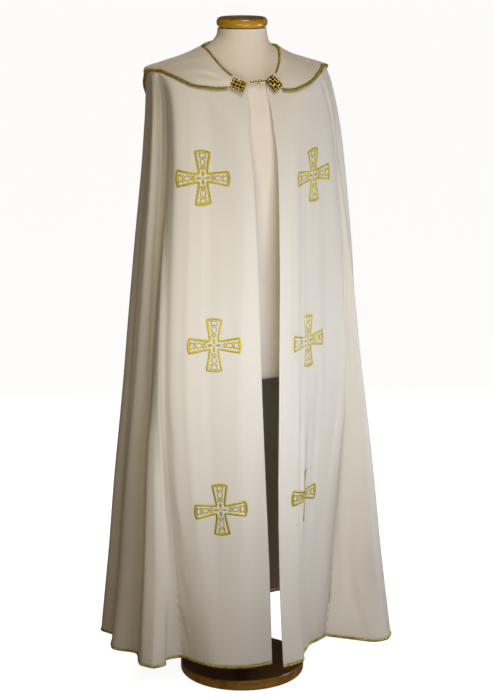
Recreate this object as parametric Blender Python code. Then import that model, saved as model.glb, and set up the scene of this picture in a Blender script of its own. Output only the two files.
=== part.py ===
"""A cream cope, clasped at the breast under its capelet, on a limbless dress form.

Metres, +Z up. The origin is the centre of the base disc's underside, on the pole's axis.
The open front faces -Y. Right and left are the wearer's: right is -X.
"""
import math
from collections import namedtuple

import bmesh
import bpy
import numpy as np
from mathutils import Matrix, Vector

for leftover in list(bpy.data.objects):
    bpy.data.objects.remove(leftover, do_unlink=True)

# ---------------------------------------------------------------- driving sizes
CLOTH_WALL = 0.002          # cope cloth with its interlining
SEAM_GAP = 0.0003           # between two pieces that touch
FORM_CLEARANCE = 0.0017     # between the cloth and the form's shoulders
HEM_HEIGHT = 0.095          # cloth edge above the floor, before its braid
BRAID_HIGH = 0.0023         # half the braid's thickness
BRAID_WIDE = 0.0027         # half the braid's width
BRAID_GAP = 0.0005          # between a braid and the edge it binds
NECK_BRAID_LIFT = 0.0006    # middle of the neck braid above the cope, whose edge it binds
PLATE_LONG = 0.0345
PLATE_SHORT = 0.0275
PLATE_THICK = 0.003
PLATE_LIFT = 0.0043         # underside of a clasp plate above the cope
CHAIN_WIRE = 0.00085        # half the wire's thickness in the chain's links
CHAIN_WIDTH = 0.0066
LINK_SQUARENESS = 0.8       # 1 makes a link an ellipse, less makes its sides straighter
HEART_HEIGHT = 0.006        # scale of the heart hook's outline, about half its height
HEART_FLANK, HEART_POINT, HEART_NOTCH = 0.1, 0.25, 0.1    # how straight, pointed and notched it is
BASE_RADIUS = 0.152
BASE_THICK = 0.028
POLE_RADIUS = 0.019
CAP_RADIUS = 0.059
CAP_BOTTOM = 1.5755
CAP_TOP = 1.600
BUST_BOTTOM = 0.760
BUST_EDGE = BUST_BOTTOM + 0.005     # where the bust's rounded lower edge begins


# ---------------------------------------------------------------- the cope's shape
# Rings of the cope from neck to hem, without folds: half width, depth in front and behind,
# height at the side, in front and behind, sideways shift, and how square the corner is.
Ring = namedtuple("Ring", "name side front back z_side z_front z_back shift corner")
COPE_RINGS = (
    Ring("neck", 0.090, 0.118, 0.078, 1.530, 1.455, 1.540, -0.005, 2.0),
    Ring("yoke", 0.130, 0.122, 0.092, 1.511, 1.437, 1.515, -0.012, 2.2),
    Ring("slope", 0.173, 0.128, 0.104, 1.498, 1.414, 1.484, -0.015, 2.4),
    Ring("tip", 0.213, 0.136, 0.115, 1.484, 1.387, 1.448, -0.0135, 2.5),
    Ring("over", 0.217, 0.143, 0.124, 1.458, 1.356, 1.408, -0.007, 2.5),
    Ring("arm", 0.229, 0.152, 0.136, 1.360, 1.300, 1.335, 0.003, 2.5),
    Ring("chest", 0.242, 0.162, 0.152, 1.235, 1.215, 1.230, 0.007, 2.4),
    Ring("waist", 0.262, 0.174, 0.176, 1.040, 1.030, 1.040, 0.008, 2.3),
    Ring("hip", 0.281, 0.187, 0.205, 0.800, 0.795, 0.800, 0.006, 2.2),
    Ring("thigh", 0.301, 0.198, 0.232, 0.550, 0.547, 0.550, 0.006, 2.1),
    Ring("shin", 0.319, 0.210, 0.257, 0.300, 0.299, 0.300, 0.008, 2.0),
    Ring("hem", 0.333, 0.222, 0.280, HEM_HEIGHT, HEM_HEIGHT, HEM_HEIGHT, 0.008, 2.0),
)
HEM_LEVEL = len(COPE_RINGS) - 1

# Fold lines that run from neck to hem, in order round the cope from the wearer's right front
# edge, past the right side, the back and the left side, to the left front edge.
# cape: the ring row that the capelet's edge lies on. angle: degrees from the front, clockwise
# seen from below, at the rows in ANGLE_ROWS. out: millimetres outside the rings, at OUT_ROWS.
Fold = namedtuple("Fold", "name cape angle out")
ANGLE_ROWS = (0, 2.5, 5, 8, 10, HEM_LEVEL)
OUT_ROWS = (2.5, 5, 8, 10, HEM_LEVEL)
FOLDS = (
    Fold("right edge", 0.5, (-9, -4.5, -11.5, -6, -1, 0), (0, 0, 0, -11, -15)),
    Fold("right roll", 0.9, (-24, -22, -21, -20, -18, -18), (0, 3, 3, -1, -4)),
    Fold("right dip", 1.9, (-38, -41, -41.5, -40.5, -36.5, -34), (0, -9, -7, -15, -13)),
    Fold("right swell", 2.5, (-52, -54, -53.5, -52, -46, -43.5), (0, 6, 9, -14, -31)),
    Fold("right turn", 2.5, (-64, -64, -60, -58, -53, -53), (0, 12, 13, -20, -55)),
    Fold("right seam", 2.5, (-72, -71, -66, -61.5, -58.5, -61.5), (0, 2, 10, -26, -73)),
    Fold("right foot", 2.5, (-76, -75, -71, -63.5, -61.5, -65.2), (0, -9, 9, -21, -46)),
    Fold("right crease", 2.52, (-78, -76, -73, -65, -62, -60.5), (0, -13, 10, -6, -8)),
    Fold("right gusset", 2.55, (-80, -77, -74.5, -67, -64.5, -62.5), (0, -16, 10, 8, 19)),
    Fold("right gusset back", 2.6, (-82, -77.7, -76, -70.5, -69.5, -67.5), (0, -18, 4, 9, 17)),
    Fold("right arm valley", 2.65, (-84, -78.5, -78, -77, -78, -81), (0, -20, -24, -30, -33)),
    Fold("right arm ridge", 2.8, (-87, -84, -81.5, -85.5, -91.5, -91), (0, 3, -6, -3, 5)),
    Fold("right side notch", 3.3, (-94, -93, -92, -91, -99, -104), (0, -2, -5, -6, -5)),
    Fold("right side ridge", 4.1, (-101, -101, -102, -100, -106, -112), (0, 3, 7, 24, 35)),
    Fold("right back dip", 4.7, (-113, -114, -116, -116, -120, -125), (0, -3, -9, -15, -18)),
    Fold("right back roll", 5.0, (-126, -127, -129, -130, -134, -138), (0, 3, 9, 18, 22)),
    Fold("right back hollow", 5.2, (-140, -141, -142, -144, -148, -151), (0, -3, -8, -14, -17)),
    Fold("right back fold", 5.3, (-153, -154, -155, -157, -161, -163), (0, 3, 9, 18, 24)),
    Fold("middle back", 5.4, (-174, -174, -174, -175, -176, -177), (0, -3, -9, -17, -22)),
    Fold("left back fold", 5.35, (-196, -196, -195, -194, -192, -191), (0, 3, 9, 17, 21)),
    Fold("left back hollow", 5.25, (-209, -209, -208, -207, -205, -204), (0, -3, -9, -17, -21)),
    Fold("left back roll", 5.1, (-222, -222, -221, -220, -218, -217), (0, 3, 9, 20, 26)),
    Fold("left back dip", 4.8, (-236, -236, -236, -235, -233, -231), (0, -3, -8, -15, -19)),
    Fold("left side ridge", 4.4, (-250, -250, -252, -252, -249, -246), (0, 3, 7, 17, 22)),
    Fold("left side notch", 3.7, (-262, -262, -262, -264, -263, -262), (0, -2, -5, -9, -12)),
    Fold("left arm ridge", 3.0, (-272, -273, -275, -271, -273, -275), (0, 3, 6, 10, 10)),
    Fold("left arm valley", 2.7, (-276, -279, -279, -275, -282, -283), (0, -16, -2, -10, -14)),
    Fold("left gusset back", 2.6, (-278, -281, -280, -278, -287, -288), (0, -18, 4, 33, 46)),
    Fold("left gusset", 2.55, (-280, -282, -281, -280, -291.5, -294), (0, -19, -7, 19, 51)),
    Fold("left crease", 2.52, (-282, -283, -282, -279, -290, -298.5), (0, -19, -22, -30, 18)),
    Fold("left foot", 2.5, (-284, -284, -283, -279, -286, -296.5), (0, -17, -32, -67, -46)),
    Fold("left seam", 2.5, (-288, -288, -285, -280.5, -287.5, -294), (0, -13, -36, -87, -102)),
    Fold("left turn", 2.5, (-296, -297, -292, -285.5, -299, -312), (0, -18, -51, -91, -90)),
    Fold("left swell", 2.6, (-306, -306, -304, -297, -314, -321.5), (0, -23, -63, -70, -70)),
    Fold("left dip", 2.4, (-320, -318, -321, -316.5, -329.5, -334), (0, -12, -46, -37, -34)),
    Fold("left roll", 1.3, (-333, -333, -337, -336, -343, -341.5), (0, 3, -15, -3, 1)),
    Fold("left edge", 0.5, (-346, -343, -348.5, -353.5, -356.5, -355.5), (0, 1, 9, 15, 17)),
)
RIGHT_SEAM, LEFT_SEAM = 5, 31   # rows of FOLDS that the seams lie on
LEFT_EDGE = len(FOLDS) - 1
FOLD_ANGLES = np.radians([fold.angle for fold in FOLDS]).T
FOLD_OUTS = np.array([fold.out for fold in FOLDS]).T / 1000
CAPE_LEVELS = np.array([[fold.cape] for fold in FOLDS])
RING_VALUES = np.array([ring[1:] for ring in COPE_RINGS])


def flow(stations, table, where):
    """Smooth curve through a table's rows, one row for each station, that never overshoots."""
    stations = np.asarray(stations, float)
    where = np.clip(where, stations[0], stations[-1])
    gap = np.diff(stations)[:, None]
    rise = np.diff(table, axis=0) / gap
    slope = np.vstack([rise[:1], np.zeros_like(table[1:-1]), rise[-1:]])
    same_way = rise[:-1] * rise[1:] > 0
    before, after = 2 * gap[1:] + gap[:-1], gap[1:] + 2 * gap[:-1]
    low_rise = np.where(same_way, rise[:-1], 1.0)
    high_rise = np.where(same_way, rise[1:], 1.0)
    mean = (before + after) / (before / low_rise + after / high_rise)
    slope[1:-1] = np.where(same_way, mean, 0.0)
    row = np.clip(np.searchsorted(stations, where, side="right") - 1, 0, len(stations) - 2)
    t = ((where - stations[row]) / gap[row, 0])[:, None]
    start = table[row] * (1 + 2 * t) + slope[row] * gap[row] * t
    end = table[row + 1] * (3 - 2 * t) - slope[row + 1] * gap[row] * (1 - t)
    return start * (1 - t) ** 2 + end * t ** 2


def ring_point(level, angle, out):
    """Points on the rings at a level, an angle from the front and a distance outside them."""
    side, front, back, z_side, z_front, z_back, shift, corner = flow(
        range(len(COPE_RINGS)), RING_VALUES, level).T
    sine, cosine = np.sin(angle), np.cos(angle)
    depth = np.where(cosine > 0, front, back)
    z_end = np.where(cosine > 0, z_front, z_back)
    reach = (np.abs(sine / side) ** corner + np.abs(cosine / depth) ** corner) ** (-1 / corner)
    return np.column_stack([
        shift + (reach + out) * sine,
        -(reach + out) * cosine,
        z_side + (z_end - z_side) * cosine ** 2,
    ])


def across_folds(table, across):
    """A row of values for each fold, read at a place between two folds."""
    return flow(range(len(FOLDS)), table, np.array([across]))[0]


def cope_column(across, levels):
    """Points of the cope's outer side down one line, at a place across the folds."""
    angle = across_folds(flow(ANGLE_ROWS, FOLD_ANGLES, levels).T, across)
    out = across_folds(flow(OUT_ROWS, FOLD_OUTS, levels).T, across)
    return ring_point(levels, angle, out)


Line = namedtuple("Line", "points outward along down")


def cope_line(across, levels):
    """The same points with their directions: outward, along the folds' order, and down."""
    step = 0.02
    levels = np.asarray(levels, float)
    down = (cope_column(across, np.minimum(levels + step, HEM_LEVEL))
            - cope_column(across, np.maximum(levels - step, 0)))
    along = (cope_column(min(across + step, LEFT_EDGE), levels)
             - cope_column(max(across - step, 0), levels))
    outward = np.cross(along, down)
    unit = [v / np.linalg.norm(v, axis=1)[:, None] for v in (outward, along, down)]
    return Line(cope_column(across, levels), *unit)


# ---------------------------------------------------------------- rows and columns of the cloth
CAPE_ROWS = 6
LOWER_ROWS = (0.03, 0.09, 0.16, 0.24, 0.33, 0.42, 0.51, 0.60, 0.69, 0.78, 0.86, 0.93, 1)
NARROW = math.radians(5)    # folds no further apart than this need no columns between them


def cape_level(across):
    """The level of the capelet's outer edge at a place across the folds."""
    return across_folds(CAPE_LEVELS, across)[0]


def cape_rows(across):
    return np.linspace(0, cape_level(across), CAPE_ROWS + 1)


def cope_rows(across):
    """Rows that follow the capelet's edge, so that the capelet lies on them evenly."""
    edge = cape_level(across)
    return np.append(cape_rows(across), edge + (HEM_LEVEL - edge) * np.array(LOWER_ROWS))


def columns(first, last):
    """Places across the folds: each fold line and, in a wide space, one near either line."""
    places = []
    for fold in range(math.floor(first), math.ceil(last)):
        narrow = abs(FOLD_ANGLES[:, fold + 1] - FOLD_ANGLES[:, fold]).max() < NARROW
        places += [fold] if narrow else [fold, fold + 0.25, fold + 0.75]
    places = [place for place in places if first < place < last]
    return [first] + places + [last]


# ---------------------------------------------------------------- materials and mesh makers
def material(name, colour, roughness, metallic=0.0):
    made = bpy.data.materials.new(name)
    made.use_nodes = True
    shader = made.node_tree.nodes["Principled BSDF"]
    shader.inputs["Base Color"].default_value = (*colour, 1.0)
    shader.inputs["Roughness"].default_value = roughness
    shader.inputs["Metallic"].default_value = metallic
    return made


CREAM_CLOTH = material("cream cloth", (0.72, 0.68, 0.60), 0.75)
CREAM_SATIN = material("cream satin", (0.66, 0.61, 0.56), 0.55)
GOLD_BRAID = material("gold braid", (0.45, 0.33, 0.10), 0.45, 0.6)
BRASS = material("brass filigree", (0.56, 0.42, 0.16), 0.35, 1.0)
LINEN = material("form linen", (0.70, 0.62, 0.52), 0.85)
VARNISHED_WOOD = material("varnished wood", (0.42, 0.24, 0.05), 0.30)
STAINED_WOOD = material("stained wood", (0.10, 0.055, 0.02), 0.40)


def add_object(name, mesh_builder, finish, smooth=True):
    mesh = bpy.data.meshes.new(name)
    mesh_builder.to_mesh(mesh)
    mesh_builder.free()
    if smooth:
        mesh.shade_smooth()
        mesh.set_sharp_from_angle(angle=math.radians(50))
    mesh.materials.append(finish)
    made = bpy.data.objects.new(name, mesh)
    bpy.context.scene.collection.objects.link(made)
    return made


def grid_faces(builder, grid):
    """Two triangles in each cell of a grid of vertices."""
    for row, next_row in zip(grid, grid[1:]):
        for a, b, c, d in zip(row, row[1:], next_row[1:], next_row):
            builder.faces.new((a, d, c))
            builder.faces.new((a, c, b))


def add_wall(name, lines, lift, wall, finish):
    """A wall of cloth through lines of points, its inner side a lift above them."""
    builder = bmesh.new()
    sides = []
    for height in (lift + wall, lift):
        sides.append([[builder.verts.new(point + normal * height)
                       for point, normal in zip(line.points, line.outward)] for line in lines])
    outer, inner = sides
    for side in sides:
        grid_faces(builder, side)
    for end in (0, -1):
        grid_faces(builder, [inner[end], outer[end]])
        grid_faces(builder, [[line[end] for line in side] for side in sides])
    bmesh.ops.recalc_face_normals(builder, faces=builder.faces)
    return add_object(name, builder, finish)


def add_tube(name, centres, first_axis, second_axis, high, wide, finish, sides=6):
    """A closed cord of oval section, the section's two axes given at each centre."""
    builder = bmesh.new()
    rings = []
    for centre, first, second in zip(centres, first_axis, second_axis):
        ring = []
        for side in range(sides):
            turn = 2 * math.pi * (side + 0.5) / sides
            offset = first * high * math.cos(turn) + second * wide * math.sin(turn)
            ring.append(builder.verts.new(centre + offset))
        rings.append(ring + ring[:1])
    grid_faces(builder, rings)
    builder.faces.new(rings[0][-2::-1])
    builder.faces.new(rings[-1][:-1])
    bmesh.ops.recalc_face_normals(builder, faces=builder.faces)
    return add_object(name, builder, finish)


# ---------------------------------------------------------------- cope: two fronts and the body
def shifted(line, distance):
    return line._replace(points=line.points + line.along * distance)


def add_cope_piece(name, first, last):
    """One piece of the cope, held half a seam gap back at each of its two long edges."""
    lines = [cope_line(across, cope_rows(across)) for across in columns(first, last)]
    lines[0] = shifted(lines[0], SEAM_GAP / 2)
    lines[-1] = shifted(lines[-1], -SEAM_GAP / 2)
    return add_wall(name, lines, -CLOTH_WALL, CLOTH_WALL, CREAM_CLOTH)


add_cope_piece("cope_front_right", 0, RIGHT_SEAM)
add_cope_piece("cope_body", RIGHT_SEAM, LEFT_SEAM)
add_cope_piece("cope_front_left", LEFT_SEAM, LEFT_EDGE)

# ---------------------------------------------------------------- capelet, from plate to plate
CAPE_START, CAPE_END = 0.95, LEFT_EDGE - 1.0

cape_lines = [cope_line(across, cape_rows(across)) for across in columns(CAPE_START, CAPE_END)]
add_wall("capelet", cape_lines, SEAM_GAP, CLOTH_WALL, CREAM_SATIN)


# ---------------------------------------------------------------- braids
def add_braid(name, first, last, row, inner_row, side, lift):
    """A braid beside a row of the cloth: side is 1 below the row and -1 above it.

    The cloth between the row and inner_row gives its slope, and lift is its middle's height.
    """
    centres, outwards, slopes = [], [], []
    for across in columns(first, last):
        line = cope_line(across, cope_rows(across)[sorted((row, inner_row))])
        slope = line.points[1] - line.points[0]
        slope /= np.linalg.norm(slope)
        outward = np.cross(line.along[0], slope)
        outward /= np.linalg.norm(outward)
        start = line.points[0] if row < inner_row else line.points[1]
        centres.append(start + slope * side * (BRAID_WIDE + BRAID_GAP) + outward * lift)
        outwards.append(outward)
        slopes.append(slope)
    return add_tube(name, centres, outwards, slopes, BRAID_HIGH, BRAID_WIDE, GOLD_BRAID)


LAST_ROW = CAPE_ROWS + len(LOWER_ROWS)
add_braid("capelet_neck_braid", 1.26, LEFT_EDGE - 1.45, 0, 1, -1, NECK_BRAID_LIFT)
add_braid("capelet_edge_braid", 1.26, LEFT_EDGE - 1.30, CAPE_ROWS, CAPE_ROWS + 1, 1,
          BRAID_HIGH + 3 * SEAM_GAP)
add_braid("hem_braid", 0, LEFT_EDGE, LAST_ROW, LAST_ROW - 1, 1, -CLOTH_WALL / 2)


# ---------------------------------------------------------------- clasp: plates, chain and hook
def ring_frame(level, angle):
    """A point of the unfolded cope with its directions: outward, and down the cloth."""
    step = 0.02

    def at(level_here, angle_here):
        return ring_point(np.array([level_here]), np.array([angle_here]), 0.0)[0]

    down = Vector(at(level + step, angle) - at(max(level - step, 0), angle)).normalized()
    leftward = Vector(at(level, angle + step) - at(level, angle - step))
    return Vector(at(level, angle)), down.cross(leftward).normalized(), down


Plate = namedtuple("Plate", "name level angle turn")
PLATES = (
    Plate("clasp_plate_right", 0.52, -18.5, -25),
    Plate("clasp_plate_left", 0.64, 22.8, -56),
)
BOSSES_ALONG, BOSSES_ACROSS = 5, 4
BOSS_MARGIN = 0.0009
BOSS_TAPER = 0.8
BOSS_HEIGHT = 0.0012


def add_clasp_plate(plate):
    """A brass plate with a lattice of small raised bosses, lying on the capelet's end."""
    builder = bmesh.new()
    bmesh.ops.create_grid(builder, x_segments=BOSSES_ALONG, y_segments=BOSSES_ACROSS, size=0.5)
    bmesh.ops.scale(builder, vec=(PLATE_LONG, PLATE_SHORT, 1), verts=builder.verts)
    top = list(builder.faces)
    bmesh.ops.inset_individual(builder, faces=top, thickness=BOSS_MARGIN, depth=0.0)
    edges = [edge for edge in builder.edges if edge.is_boundary]
    skirt = bmesh.ops.extrude_edge_only(builder, edges=edges)["geom"]
    rim = [item for item in skirt if isinstance(item, bmesh.types.BMVert)]
    bmesh.ops.translate(builder, verts=rim, vec=(0, 0, -PLATE_THICK))
    bottom = [item for item in skirt if isinstance(item, bmesh.types.BMEdge)]
    bmesh.ops.holes_fill(builder, edges=bottom, sides=0)
    for face in top:
        middle = face.calc_center_median()
        for vert in face.verts:
            vert.co = middle + (vert.co - middle) * BOSS_TAPER + Vector((0, 0, BOSS_HEIGHT))
    bmesh.ops.recalc_face_normals(builder, faces=builder.faces)
    made = add_object(plate.name, builder, BRASS, smooth=False)
    point, outward, _ = ring_frame(plate.level, math.radians(plate.angle))
    sideways = Vector((0, 0, 1)).cross(outward).normalized()
    turned = Matrix.Rotation(math.radians(plate.turn), 3, outward) @ sideways
    axes = Matrix((turned, outward.cross(turned), outward)).transposed()
    centre = point + outward * (PLATE_LIFT + PLATE_THICK)
    made.matrix_world = Matrix.Translation(centre) @ axes.to_4x4()
    return made


right_plate, left_plate = [add_clasp_plate(plate) for plate in PLATES]


def add_ring(name, path, facing, finish=BRASS, sides=5):
    """A closed ring of round wire along a closed path that lies flat, facing one way."""
    builder = bmesh.new()
    rings = []
    for index, centre in enumerate(path):
        ahead = (path[(index + 1) % len(path)] - path[index - 1]).normalized()
        sideways = facing.cross(ahead).normalized()
        ring = []
        for side in range(sides):
            turn = 2 * math.pi * side / sides
            offset = facing * math.cos(turn) + sideways * math.sin(turn)
            ring.append(builder.verts.new(centre + offset * CHAIN_WIRE))
        rings.append(ring + ring[:1])
    grid_faces(builder, rings + rings[:1])
    bmesh.ops.recalc_face_normals(builder, faces=builder.faces)
    return add_object(name, builder, finish)


def link_outline(turn, half_long, half_wide):
    """A long oval: where its wire is at a turn round it."""
    cosine, sine = math.cos(turn), math.sin(turn)
    return (half_long * math.copysign(abs(cosine) ** LINK_SQUARENESS, cosine),
            half_wide * math.copysign(abs(sine) ** LINK_SQUARENESS, sine))


def heart_outline(turn, half_long, half_wide):
    """A heart, widest on the chain's line, its point hanging down; no bend is tighter than the wire."""
    reach = (math.sin(turn) - HEART_FLANK * math.sin(3 * turn)) / (1 + HEART_FLANK)
    rise = (math.cos(turn) - HEART_POINT * (math.cos(2 * turn) + 1)
            - HEART_NOTCH * math.cos(3 * turn))
    return half_long * reach, half_wide * rise


CHAIN = ("clasp_link_1", "clasp_link_2", "clasp_link_3", "clasp_link_4", "clasp_heart_hook",
         "clasp_link_5")
WIRE_STEPS = 16             # a multiple of four, so that a corner lies on the chain's line


def add_chain():
    """Links from plate to plate, each passed through the next, turned a quarter each time."""
    corner = Vector((PLATE_LONG, PLATE_SHORT, -PLATE_THICK)) / 2
    right = right_plate.matrix_world @ corner
    left = left_plate.matrix_world @ Vector((-corner.x, -corner.y, corner.z))
    span = left - right
    along = span.normalized()
    outward = (right_plate.matrix_world.col[2] + left_plate.matrix_world.col[2]).xyz
    outward = (outward - along * outward.dot(along)).normalized()
    overlap = 4 * CHAIN_WIRE + 1.5 * SEAM_GAP
    length = (span.length - 2 * SEAM_GAP + (len(CHAIN) - 1) * overlap) / len(CHAIN)
    half_long = length / 2 - CHAIN_WIRE
    for index, name in enumerate(CHAIN):
        middle = right + along * (SEAM_GAP + length / 2 + index * (length - overlap))
        facing = outward if index % 2 == 0 else outward.cross(along)
        outline, half_wide = link_outline, CHAIN_WIDTH / 2 - CHAIN_WIRE
        if name == "clasp_heart_hook":
            outline, half_wide = heart_outline, HEART_HEIGHT
        upward = facing.cross(along)
        path = []
        for step in range(WIRE_STEPS):
            x, y = outline(2 * math.pi * step / WIRE_STEPS, half_long, half_wide)
            path.append(middle + along * x + upward * y)
        add_ring(name, path, facing)


add_chain()


# ---------------------------------------------------------------- dress form
FORM_STEPS = 40
NECK_FOOT = 0.008           # how far the shoulders run in past the cloth to the neck
# Rings of the bust that the cloth doesn't touch; heights, then the same columns as the cope's.
NECK_RINGS = (
    Ring("top", 0.0565, 0.0565, 0.0565, 1.5750, 1.5750, 1.5750, 0.0, 2.0),
    Ring("neck", 0.0580, 0.0590, 0.0580, 1.5620, 1.5450, 1.5640, 0.0, 2.0),
    Ring("throat", 0.0665, 0.0800, 0.0640, 1.5440, 1.5000, 1.5510, -0.003, 2.0),
)
SHOULDER_LEVELS = (0, 0.5, 1.0, 1.5, 2.0)
BODY_RINGS = (
    Ring("shoulder end", 0.187, 0.1245, 0.103, 1.486, 1.396, 1.466, -0.002, 2.4),
    Ring("armhole top", 0.191, 0.1285, 0.108, 1.455, 1.365, 1.430, 0.0, 2.4),
    Ring("armhole", 0.185, 0.132, 0.111, 1.390, 1.330, 1.370, 0.0, 2.4),
    Ring("bust", 0.172, 0.130, 0.110, 1.280, 1.260, 1.280, 0.0, 2.3),
    Ring("ribs", 0.154, 0.119, 0.104, 1.150, 1.150, 1.150, 0.0, 2.2),
    Ring("waist", 0.138, 0.107, 0.098, 1.000, 1.000, 1.000, 0.0, 2.1),
    Ring("hips", 0.156, 0.113, 0.110, 0.880, 0.880, 0.880, 0.0, 2.1),
    Ring("seat", 0.162, 0.114, 0.113, 0.785, 0.785, 0.785, 0.0, 2.1),
    Ring("seat edge", 0.156, 0.108, 0.107, BUST_EDGE, BUST_EDGE, BUST_EDGE, 0.0, 2.1),
    Ring("underside", 0.140, 0.094, 0.093, BUST_BOTTOM, BUST_BOTTOM, BUST_BOTTOM, 0.0, 2.1),
)


def plain_ring_point(ring, angle):
    """A point of one named ring at an angle from the front."""
    sine, cosine = math.sin(angle), math.cos(angle)
    depth, z_end = (ring.front, ring.z_front) if cosine > 0 else (ring.back, ring.z_back)
    reach = (abs(sine / ring.side) ** ring.corner
             + abs(cosine / depth) ** ring.corner) ** (-1 / ring.corner)
    height = ring.z_side + (z_end - ring.z_side) * cosine ** 2
    return Vector((ring.shift + reach * sine, -reach * cosine, height))


def shoulder_point(level, angle, upward=0.0):
    """A point of the form just under the cloth that lies on its shoulders, or up from there."""
    point, outward, down = ring_frame(level, angle)
    return point - outward * (CLOTH_WALL + FORM_CLEARANCE) - down * upward


def add_bust():
    """The limbless bust: neck, shoulders under the cloth, waist and a flat underside."""
    builder = bmesh.new()
    turns = [2 * math.pi * step / FORM_STEPS for step in range(FORM_STEPS)]
    rows = [[plain_ring_point(ring, turn) for turn in turns] for ring in NECK_RINGS]
    rows += [[shoulder_point(0, turn, NECK_FOOT) for turn in turns]]
    rows += [[shoulder_point(level, turn) for turn in turns] for level in SHOULDER_LEVELS]
    rows += [[plain_ring_point(ring, turn) for turn in turns] for ring in BODY_RINGS]
    grid = []
    for row in rows:
        vertices = [builder.verts.new(point) for point in row]
        grid.append(vertices + vertices[:1])
    grid_faces(builder, grid)
    builder.faces.new(grid[0][:-1])
    builder.faces.new(grid[-1][:-1])
    bmesh.ops.recalc_face_normals(builder, faces=builder.faces)
    return add_object("form_bust", builder, LINEN)


def add_turned(name, profile, steps, finish):
    """A turned solid: the profile's radii and heights spun round the pole's axis."""
    builder = bmesh.new()
    points = [builder.verts.new((radius, 0, height)) for radius, height in profile]
    edges = [builder.edges.new(pair) for pair in zip(points, points[1:])]
    bmesh.ops.spin(builder, geom=points + edges, cent=(0, 0, 0), axis=(0, 0, 1),
                   angle=2 * math.pi, steps=steps, use_merge=True)
    bmesh.ops.remove_doubles(builder, verts=builder.verts, dist=1e-6)
    bmesh.ops.recalc_face_normals(builder, faces=builder.faces)
    return add_object(name, builder, finish)


def rounded(radius, height, rim, outward_up, steps=3):
    """The quarter round of a rim that ends at a radius and a height, from its side inward."""
    points = []
    for step in range(steps + 1):
        turn = math.pi / 2 * step / steps
        points.append((radius - rim + rim * math.cos(turn),
                       height + outward_up * (rim * math.sin(turn) - rim)))
    return points


add_bust()
CAP_RIM, CAP_LIP = 0.010, 0.002        # rounding of the upper and the lower edge
BASE_RIM, BASE_LIP = 0.009, 0.003
add_turned("form_neck_cap",
           [(0, CAP_BOTTOM)] + rounded(CAP_RADIUS, CAP_BOTTOM, CAP_LIP, -1)[::-1]
           + rounded(CAP_RADIUS, CAP_TOP, CAP_RIM, 1) + [(0, CAP_TOP)], 32, VARNISHED_WOOD)
add_turned("form_pole",
           [(0, BASE_THICK + SEAM_GAP), (POLE_RADIUS, BASE_THICK + SEAM_GAP),
            (POLE_RADIUS, BUST_BOTTOM - SEAM_GAP), (0, BUST_BOTTOM - SEAM_GAP)], 16, STAINED_WOOD)
add_turned("form_base",
           [(0, 0)] + rounded(BASE_RADIUS, 0, BASE_LIP, -1)[::-1]
           + rounded(BASE_RADIUS, BASE_THICK, BASE_RIM, 1) + [(0, BASE_THICK)], 48, STAINED_WOOD)
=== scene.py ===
"""A cream cope, clasped at the breast under its capelet, on a limbless dress form.

Metres, +Z up. The open front faces -Y. Right and left are the wearer's: right is -X.
"""
import math
from collections import namedtuple

import bmesh
import bpy
import numpy as np
from mathutils import Matrix, Vector, noise


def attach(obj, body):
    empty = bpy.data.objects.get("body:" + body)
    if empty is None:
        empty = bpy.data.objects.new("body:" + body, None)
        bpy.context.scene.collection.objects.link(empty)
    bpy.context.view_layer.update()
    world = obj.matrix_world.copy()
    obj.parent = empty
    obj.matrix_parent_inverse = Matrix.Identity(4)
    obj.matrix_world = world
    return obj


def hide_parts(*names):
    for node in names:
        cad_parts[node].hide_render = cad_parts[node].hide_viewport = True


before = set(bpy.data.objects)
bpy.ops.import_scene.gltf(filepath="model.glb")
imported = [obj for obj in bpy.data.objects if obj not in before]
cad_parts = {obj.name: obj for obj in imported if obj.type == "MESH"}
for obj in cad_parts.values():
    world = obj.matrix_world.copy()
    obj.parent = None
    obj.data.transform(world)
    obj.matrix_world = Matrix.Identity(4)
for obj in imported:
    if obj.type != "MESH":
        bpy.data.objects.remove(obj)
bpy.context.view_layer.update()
for loaded in bpy.context.selected_objects:
    loaded.select_set(False)

# ---------------------------------------------------------------- camera
# A long lens a little above the shoulders, to the wearer's right of the open front, aimed at
# the middle of the cope so that the whole figure stands in an upright frame.
EYE = Vector((-1.4187, -4.3664, 1.9053))
AIM = Vector((0.0, 0.0, 0.8114))
bpy.ops.object.camera_add(location=EYE, rotation=(AIM - EYE).to_track_quat("-Z", "Y").to_euler())
camera = bpy.context.object
camera.data.sensor_width = 36.0
camera.data.lens = 101.42
camera.data.shift_x = 0.0064
bpy.context.scene.camera = camera

# ---------------------------------------------------------------- cope: two fronts and the body
# A full-length cloak of cream wool-blend gabardine over a light interlining: two straight
# front bands, each sewn down the arm to one wide body, whose fullness falls in soft folds from
# the shoulders to an open hem.
CLOTH_WALL = 0.002
HEM_HEIGHT = 0.095

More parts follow.
